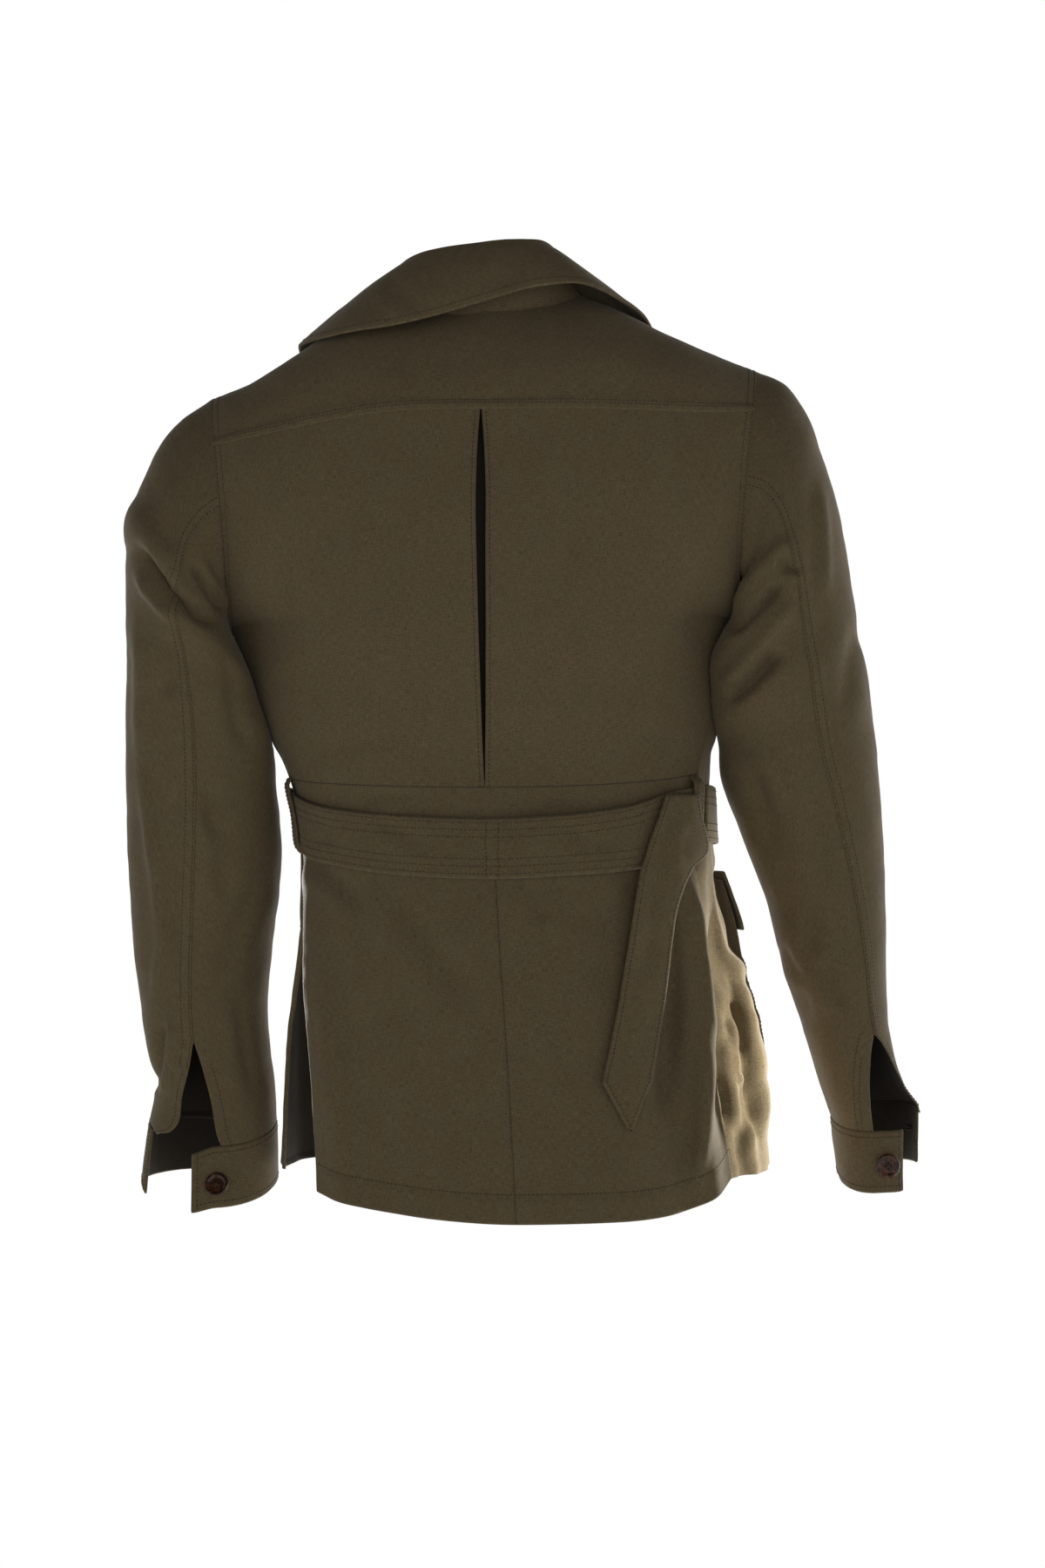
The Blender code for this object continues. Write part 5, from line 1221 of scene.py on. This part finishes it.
# ---------------------------------------------------------------- pockets
for side, tag in ((+1, "left"), (-1, "right")):
    s = side * (POCKET["inner"] + (POCKET["outer"] - POCKET["inner"]) * spread(125.0, 3.4, (0.0, 1.0, 2.4, 4.2), (0.0, 1.0, 2.4, 4.2)))[None, :]
    z = (POCKET["bottom"] + (POCKET["top"] - 6 - POCKET["bottom"]) * spread(150.0, 3.4, (0.0, 1.0, 2.4, 4.2), (0.0, 1.0, 2.4, 4.2)))[:, None]
    t = height_number(s + 0 * z, z + 0 * s, True)
    g = body(s + 0 * t, t, True, 2.6 + 0 * t, "front_" + tag)
    g = keep_off(dress(g, side, "pocket", 1.3), bvh_of("front_" + tag), (0.0, -10.0), 1.9)
    shell("pocket_" + tag, g, side, LAYER, held="laid", rests_on=["front_" + tag])
    s = side * (POCKET["inner"] - 0.01 + (POCKET["outer"] - POCKET["inner"] + 0.03) * spread(132.0, 3.2, (0.0, 1.0, 2.4, 4.2), (0.0, 1.0, 2.4, 4.2)))[None, :]
    z = (POCKET["flap"] + (POCKET["top"] - POCKET["flap"]) * spread(46.0, 3.0, (0.0, 1.0, 2.4, 4.2), (0.0, 1.0, 2.4)))[:, None]
    t = height_number(s + 0 * z, z + 0 * s, True)
    off = np.interp(z, (POCKET["flap"], POCKET["top"]), (7.0, 5.0))
    g = body(s + 0 * t, t, True, off + 0 * t, "front_" + tag)
    shell("flap_" + tag, dress(g, side, "pocket", 1.3), side, 2.0, held="hung", rests_on=["front_" + tag])

# ---------------------------------------------------------------- stitching
for tag in ("left", "right"):
    side = 1 if tag == "left" else -1
    b = "back_" + tag
    sew(b, along_edge(b, "start", 19.2, 0.0, 0.97))
    for d in (1.6, 7.4):
        sew(b, along_edge(b, "stop", d, 0.58, 0.965))
    sk = "skirt_back_" + tag
    sew(sk, along_edge(sk, "first", 22.0, 0.03 if side > 0 else 0.0, 1.0))
    fr = "front_" + tag
    sew(fr, along_edge(fr, "first", 22.0))
    sew(fr, along_edge(fr, "start", 5.0, 0.0, 0.70))
    sew(fr, along_edge(fr, "stop", 13.5, 0.66, 0.97))
    sew("lapel_" + tag, along_edge("lapel_" + tag, "stop", 4.2))
    sew("lapel_" + tag, along_edge("lapel_" + tag, "last", 4.2))
    st = "sleeve_top_" + tag
    for d in (1.4, 8.2):
        sew(st, along_edge(st, "start", d, 0.02, 0.895))
    sew(st, along_edge(st, "start", 4.5, 0.90, 1.0))
    su = "sleeve_under_" + tag
    sew(su, along_edge(su, "start", 9.0, 0.89, 1.0))
    if side < 0:
        sew(su, along_edge(su, "start", 14.0, 0.86, 1.0))
    cf = "cuff_" + tag
    for where in ("first", "last", "start", "stop"):
        sew(cf, along_edge(cf, where, 4.2, 0.02, 0.98))
    for where in ("start", "stop", "first"):
        sew("flap_" + tag, along_edge("flap_" + tag, where, 4.2, 0.04, 0.96))
    for where in ("start", "stop", "first"):
        sew("pocket_" + tag, along_edge("pocket_" + tag, where, 2.0, 0.02, 0.98))
        sew("pocket_" + tag, along_edge("pocket_" + tag, where, 7.0, 0.05, 0.95))
    sew("belt_loop_" + tag, along_edge("belt_loop_" + tag, "start", 2.6))
    sew("belt_loop_" + tag, along_edge("belt_loop_" + tag, "stop", 2.6))
sew("skirt_back_right", along_edge("skirt_back_right", "start", 0.5, 0.0, 0.99), 2.6, 0.9)
for tag in ("left", "right"):
    sew("back_" + tag, along_edge("back_" + tag, "first", 0.4, 0.07, 1.0), 2.6, 0.9)
for d in (4.2, 6.6):
    sew("yoke", along_edge("yoke", "first", d, 0.005, 0.995))
for where in ("start", "stop"):
    for d in (1.6, 7.4):
        sew("yoke", along_edge("yoke", where, d, 0.06, 1.0))
for lo, hi in ((0.0, 0.32), (0.68, 1.0)):
    sew("yoke", along_edge("yoke", "last", 4.0, lo, hi))
sew("collar", along_edge("collar", "stop", 4.4))
sew("collar", along_edge("collar", "first", 4.4, 0.45, 1.0))
sew("collar", along_edge("collar", "last", 4.4, 0.45, 1.0))
for d in (2.6, 8.4, 14.2):
    sew("belt_back", along_edge("belt_back", "last", d), None, 0.5)
for d in (2.6, 8.4, 14.2):
    sew("belt_back", along_edge("belt_back", "first", d), None, 0.5)
for x in (558, 572):
    sew("belt_back", on_piece("belt_back", ((x, 944), (x, 1006))))
for d in (2.6, 8.4, 14.2):
    sew("belt_front", along_edge("belt_front", "last", d), None, 0.5)
    sew("belt_front", along_edge("belt_front", "first", d), None, 0.5)
for where in ("start", "stop"):
    sew("belt_tail", along_edge("belt_tail", where, 2.8))

# worked buttonhole in the far end of each cuff, on both faces
for tag in ("left", "right"):
    p = PIECES["cuff_" + tag]
    g, nr, wl = p["grid"], p["normals"], p["wall"]
    row, last = int(0.45 * g.shape[0]), g.shape[1] - 1
    at = g[row, last - 9]
    run = unit(g[row, last - 4] - g[row, last - 9])
    up = unit(g[row - 2, last - 9] - g[row + 2, last - 9])
    turn = np.linspace(0.0, 2 * math.pi, 40)
    for face in (1.0, -1.0):
        n = nr[row, last - 9] * face
        loop = at + run * (10.0 * np.cos(turn))[:, None] + up * (1.5 * np.sin(turn))[:, None] + n * (wl[row, last - 9] / 2 + 0.1)
        sew("cuff_" + tag, (loop, np.broadcast_to(n, loop.shape)), 1.3, 1.5)

# ---------------------------------------------------------------- buttons
def lathe(profile, steps):
    verts, faces = [], []
    for r, h in profile:
        for i in range(steps):
            a = 2 * math.pi * i / steps
            verts.append((r * math.cos(a), r * math.sin(a), h))
    n = len(profile)
    for j in range(n - 1):
        for i in range(steps):
            k = (i + 1) % steps
            faces.append((j * steps + i, (j + 1) * steps + i, (j + 1) * steps + k, j * steps + k))
    faces.append(tuple(range(steps)))
    faces.append(tuple(range((n - 1) * steps, n * steps))[::-1])
    return verts, faces


BUTTON_PROFILE = Table("p r h", (
    (0, 3.4, 1.75), (1, 5.2, 1.80), (2, 6.4, 2.05), (3, 7.0, 2.55), (4, 7.7, 2.90), (5, 8.5, 3.00),
    (6, 9.3, 2.80), (7, 9.8, 2.35), (8, 10.0, 1.75), (9, 9.8, 1.15), (10, 9.0, 0.55), (11, 7.6, 0.15), (12, 3.0, 0.05)))


def button_mesh():
    """Turned button with a rolled rim, a dished centre and four holes."""
    p = np.linspace(0, 12, 34)
    verts, faces = lathe([(float(BUTTON_PROFILE("r", x)), float(BUTTON_PROFILE("h", x))) for x in p], 56)
    bm = bmesh.new()
    vs = [bm.verts.new(Vector(v) * MM) for v in verts]
    for f in faces:
        bm.faces.new([vs[i] for i in f])
    bmesh.ops.recalc_face_normals(bm, faces=bm.faces[:])
    me = bpy.data.meshes.new("button_blank")
    bm.to_mesh(me)
    bm.free()
    blank = bpy.data.objects.new("button_blank", me)
    bpy.context.scene.collection.objects.link(blank)
    bm = bmesh.new()
    for x, y in ((1.6, 1.6), (-1.6, 1.6), (-1.6, -1.6), (1.6, -1.6)):
        bmesh.ops.create_cone(bm, cap_ends=True, segments=20, radius1=1.0 * MM, radius2=1.0 * MM, depth=8 * MM,
                              matrix=Matrix.Translation(Vector((x, y, 1.0)) * MM))
    cut_me = bpy.data.meshes.new("button_holes")
    bm.to_mesh(cut_me)
    bm.free()
    cut = bpy.data.objects.new("button_holes", cut_me)
    bpy.context.scene.collection.objects.link(cut)
    mod = blank.modifiers.new("holes", "BOOLEAN")
    mod.operation = "DIFFERENCE"
    mod.solver = "EXACT"
    mod.object = cut
    bpy.context.view_layer.update()
    got = bpy.data.meshes.new_from_object(blank.evaluated_get(bpy.context.evaluated_depsgraph_get()))
    bpy.data.objects.remove(blank)
    bpy.data.objects.remove(cut)
    got.shade_smooth()
    got.set_sharp_from_angle(angle=math.radians(38))
    return got


def thread_cross():
    """Sewing thread over the holes."""
    bm = bmesh.new()
    for (x0, y0), (x1, y1) in (((-1.6, -1.6), (1.6, 1.6)), ((-1.6, 1.6), (1.6, -1.6))):
        for shift in (-0.32, 0.32):
            d = Vector((x1 - x0, y1 - y0, 0.0)).normalized()
            c = Vector((-d.y, d.x, 0.0)) * shift
            pts = []
            for i in range(9):
                f = i / 8
                h = 0.7 + 1.5 * math.sin(math.pi * f) ** 0.6
                pts.append(Vector((x0 + (x1 - x0) * f, y0 + (y1 - y0) * f, h)) + c)
            rings = []
            for i, p in enumerate(pts):
                t = (pts[min(i + 1, 8)] - pts[max(i - 1, 0)]).normalized()
                b = t.cross(Vector((0, 0, 1))).normalized()
                n = b.cross(t)
                rings.append([bm.verts.new((p + (b * math.cos(a) + n * math.sin(a)) * 0.34) * MM)
                              for a in [2 * math.pi * q / 6 for q in range(6)]])
            for r0, r1 in zip(rings, rings[1:]):
                for q in range(6):
                    bm.faces.new((r0[q], r0[(q + 1) % 6], r1[(q + 1) % 6], r1[q]))
            bm.faces.new(rings[0][::-1])
            bm.faces.new(rings[-1])
    bmesh.ops.recalc_face_normals(bm, faces=bm.faces[:])
    me = bpy.data.meshes.new("button_thread")
    bm.to_mesh(me)
    bm.free()
    me.shade_smooth()
    return me


BUTTON = button_mesh()
CROSS = thread_cross()


def button(node_name, piece, centre, facing, spin):
    """Detailed button in place of a CAD one, seated on the outer face of its cloth."""
    turn = Vector(facing).to_track_quat("Z", "Y").to_matrix().to_4x4() @ Matrix.Rotation(spin, 4, "Z")
    for me, label, mat in ((BUTTON.copy(), "_turned", HORN_MAT), (CROSS.copy(), "_thread", THREAD_MAT)):
        me.transform(Matrix.Translation(Vector(centre) * MM) @ turn)
        ob = new_object(node_name + label, me, mat)
        if label == "_turned":
            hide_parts(node_name)


def loose_button(node_name, at, out, facing, lift, spin):
    """Button that leans on a short thread shank."""
    centre = at + out * lift
    button(node_name, None, centre, facing, spin)
    bm = bmesh.new()
    bmesh.ops.create_cone(bm, cap_ends=True, segments=14, radius1=1.5 * MM, radius2=1.2 * MM, depth=(lift + 0.9) * MM,
                          matrix=Matrix.Translation(Vector((0.0, 0.0, (lift + 0.9) / 2 - 0.4)) * MM))
    me = bpy.data.meshes.new("button_shank")
    bm.to_mesh(me)
    bm.free()
    me.shade_smooth()
    me.transform(Matrix.Translation(Vector(at) * MM) @ Vector(out).to_track_quat("Z", "Y").to_matrix().to_4x4())
    new_object(node_name + "_shank", me, THREAD_MAT)


def nearest_on(piece, p):
    q = PIECES[piece]
    g, n = q["grid"].reshape(-1, 3), q["normals"].reshape(-1, 3)
    i = int(np.argmin(np.linalg.norm(g - p, axis=1)))
    return g[i] + n[i] * q["wall"].reshape(-1)[i] / 2, n[i]


for tag, spin in (("left", 0.35), ("right", 0.8)):
    for kind, piece in (("flap_button_", "flap_"), ("cuff_button_", "cuff_")):
        lo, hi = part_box(kind + tag)
        p, n = nearest_on(piece + tag, (np.array(lo) + np.array(hi)) / 2 / MM)
        if kind + tag == "cuff_button_left":
            lean = Matrix.Rotation(math.radians(-30.0), 3, Vector((-1.0, 0.0, 1.0)))
            loose_button(kind + tag, p, n, np.array(lean @ Vector(n)), 4.2, spin)
        else:
            button(kind + tag, piece + tag, p + n * 0.3, n, spin)
for i in range(1, 5):
    lo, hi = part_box("front_button_%d" % i)
    p, n = nearest_on("front_left", (np.array(lo) + np.array(hi)) / 2 / MM)
    button("front_button_%d" % i, "front_left", p + n * 0.3, n, 0.3 * i)

# cut of what shows of each piece, the same for its left and right; columns:
# width and length in millimetres, share of that rectangle which the cut fills
CUTS = {
    "back": (270, 320, 0.82), "skirt_back": (200, 293, 0.91), "front": (330, 766, 0.74),
    "lapel_left": (100, 125, 0.60), "lapel_right": (100, 60, 0.53), "back_pleat": (110, 310, 0.93),
    "waistband_back": (382, 54, 0.94), "yoke": (520, 135, 0.73), "collar": (140, 640, 0.64),
    "sleeve_under": (260, 570, 0.60), "sleeve_top": (265, 645, 0.66), "cuff": (270, 50, 0.91),
    "belt_back": (390, 45, 0.97), "belt_front": (502, 44, 0.98), "belt_tail": (45, 284, 0.80),
    "belt_loop": (12, 66, 0.95), "pocket": (118, 155, 0.935), "flap": (126, 48, 0.94)}
for piece, p in PIECES.items():
    rows = join_stitches(piece)
    width, length, share = CUTS[piece] if piece in CUTS else CUTS[piece.rsplit("_", 1)[0]]

# ---------------------------------------------------------------- floor, light, camera
bm = bmesh.new()
bmesh.ops.create_circle(bm, cap_ends=True, segments=96, radius=0.8)
floor_me = bpy.data.meshes.new("floor")
bm.to_mesh(floor_me)
bm.free()
pale = bpy.data.materials.new("pale_floor")
pale.use_nodes = True
nt = pale.node_tree
grain = noise(nt, -600, 0, node(nt, "ShaderNodeTexCoord", -800, 0).outputs["Object"], 6.0, 3.0)
tone = ramp(nt, -350, 0, ((0.3, (0.86, 0.86, 0.86)), (0.7, (0.90, 0.90, 0.90))))
nt.links.new(grain.outputs["Fac"], tone.inputs["Fac"])
nt.links.new(tone.outputs["Color"], nt.nodes["Principled BSDF"].inputs["Base Color"])
nt.nodes["Principled BSDF"].inputs["Roughness"].default_value = 0.8
nt.links.new(tone.outputs["Color"], nt.nodes["Principled BSDF"].inputs["Emission Color"])
nt.nodes["Principled BSDF"].inputs["Emission Strength"].default_value = 0.4
floor_me.materials.append(pale)
floor = bpy.data.objects.new("floor", floor_me)
floor.location = (0.0, 0.0, -1.27)
bpy.context.scene.collection.objects.link(floor)

world = bpy.data.worlds.new("white_room")
bpy.context.scene.world = world
world.use_nodes = True
nt = world.node_tree
nt.nodes.clear()
out = node(nt, "ShaderNodeOutputWorld", 600, 0)
plain = node(nt, "ShaderNodeBackground", 200, 150)
plain.inputs["Color"].default_value = (1.0, 1.0, 1.0, 1.0)
plain.inputs["Strength"].default_value = 1.0
room = node(nt, "ShaderNodeBackground", 200, -100)
mixer = node(nt, "ShaderNodeMixShader", 400, 0)
path = node(nt, "ShaderNodeLightPath", 0, 300)
nt.links.new(path.outputs["Is Camera Ray"], mixer.inputs[0])
nt.links.new(room.outputs[0], mixer.inputs[1])
nt.links.new(plain.outputs[0], mixer.inputs[2])
nt.links.new(mixer.outputs[0], out.inputs[0])
coord = node(nt, "ShaderNodeTexCoord", -800, -100)
facing = node(nt, "ShaderNodeVectorMath", -600, -100, operation="DOT_PRODUCT")
facing.inputs[1].default_value = (-0.22, -0.97, -0.08)
nt.links.new(coord.outputs["Generated"], facing.inputs[0])
glow = node(nt, "ShaderNodeMapRange", -350, -100, interpolation_type="SMOOTHSTEP")
glow.inputs["From Min"].default_value = 0.30
glow.inputs["From Max"].default_value = 0.96
glow.inputs["To Min"].default_value = 0.385
glow.inputs["To Max"].default_value = 2.5
nt.links.new(facing.outputs["Value"], glow.inputs["Value"])
height = node(nt, "ShaderNodeSeparateXYZ", -600, -350)
nt.links.new(coord.outputs["Generated"], height.inputs[0])
less = node(nt, "ShaderNodeMapRange", -350, -350)
less.inputs["From Min"].default_value = -0.3
less.inputs["From Max"].default_value = 0.7
less.inputs["To Min"].default_value = 1.28
less.inputs["To Max"].default_value = 0.05
nt.links.new(height.outputs["Z"], less.inputs["Value"])
sides = math_node(nt, -350, -550, "MULTIPLY", height.outputs["X"], height.outputs["X"])
sides = math_node(nt, -200, -550, "ADD", math_node(nt, -280, -550, "MULTIPLY", sides, 0.9), 1.0)
fill = math_node(nt, -100, -200, "MULTIPLY", glow.outputs["Result"], less.outputs["Result"])
nt.links.new(math_node(nt, 0, -200, "MULTIPLY", fill, sides), room.inputs["Strength"])


def area_light(name, place, target, size, power):
    data = bpy.data.lights.new(name, "AREA")
    data.shape = "DISK"
    data.size = size
    data.energy = power
    ob = bpy.data.objects.new(name, data)
    ob.location = place
    ob.rotation_euler = (Vector(target) - Vector(place)).to_track_quat("-Z", "Y").to_euler()
    bpy.context.scene.collection.objects.link(ob)


def spot_light(name, place, target, angle, soft, power):
    data = bpy.data.lights.new(name, "SPOT")
    data.spot_size = math.radians(angle)
    data.spot_blend = 0.7
    data.shadow_soft_size = soft
    data.energy = power
    ob = bpy.data.objects.new(name, data)
    ob.location = place
    ob.rotation_euler = (Vector(target) - Vector(place)).to_track_quat("-Z", "Y").to_euler()
    bpy.context.scene.collection.objects.link(ob)
    return ob


area_light("soft_behind", (-1.0, -2.2, -0.5), (-0.2, 0.0, -0.4), 0.8, 2.5)
area_light("soft_front", (-0.3, 2.3, -0.2), (0.0, 0.0, -0.35), 1.6, 5.0)
# low beams along the sides of the skirt, which pass the sleeves: at the right one
# grazes the fold of the back skirt and one falls on the front beyond it, and at the
# left one catches the vent's edge
right_side = bpy.data.collections.new("right_side")
for name in ("front_right", "skirt_back_right", "belt_loop_right", "belt_back", "belt_front", "belt_tail", "waistband_back"):
    right_side.objects.link(PIECES[name]["object"])
left_vent = bpy.data.collections.new("left_vent")
left_vent.objects.link(PIECES["skirt_back_left"]["object"])
front_side = bpy.data.collections.new("front_side")
for name in ("front_right", "belt_front"):
    front_side.objects.link(PIECES[name]["object"])
for name, place, target, angle, soft, power, lit in (
        ("fold_beam", (-1.45, -0.98, -0.66), (-0.185, -0.02, -0.545), 15.0, 0.07, 210.0, right_side),
        ("front_beam", (-1.52, 0.42, -0.58), (-0.205, -0.02, -0.565), 12.0, 0.10, 250.0, front_side),
        ("vent_beam", (0.75, -1.40, -0.60), (0.135, 0.0, -0.53), 17.0, 0.05, 300.0, left_vent)):
    beam = spot_light(name, place, target, angle, soft, power)
    beam.light_linking.receiver_collection = lit
    beam.light_linking.blocker_collection = left_vent if lit == left_vent else right_side

cam = bpy.data.cameras.new("camera")
cam.sensor_fit = "AUTO"
cam.sensor_width = 36.0
cam.lens = F_VIEW * 36.0 / 1800.0
cam.clip_start = 0.05
cam.clip_end = 50.0
cam_ob = bpy.data.objects.new("camera", cam)
cam_ob.location = EYE * MM
cam_ob.rotation_euler = (math.pi / 2, 0.0, math.pi)
bpy.context.scene.collection.objects.link(cam_ob)
bpy.context.scene.camera = cam_ob
bpy.context.scene.view_settings.view_transform = "Standard"
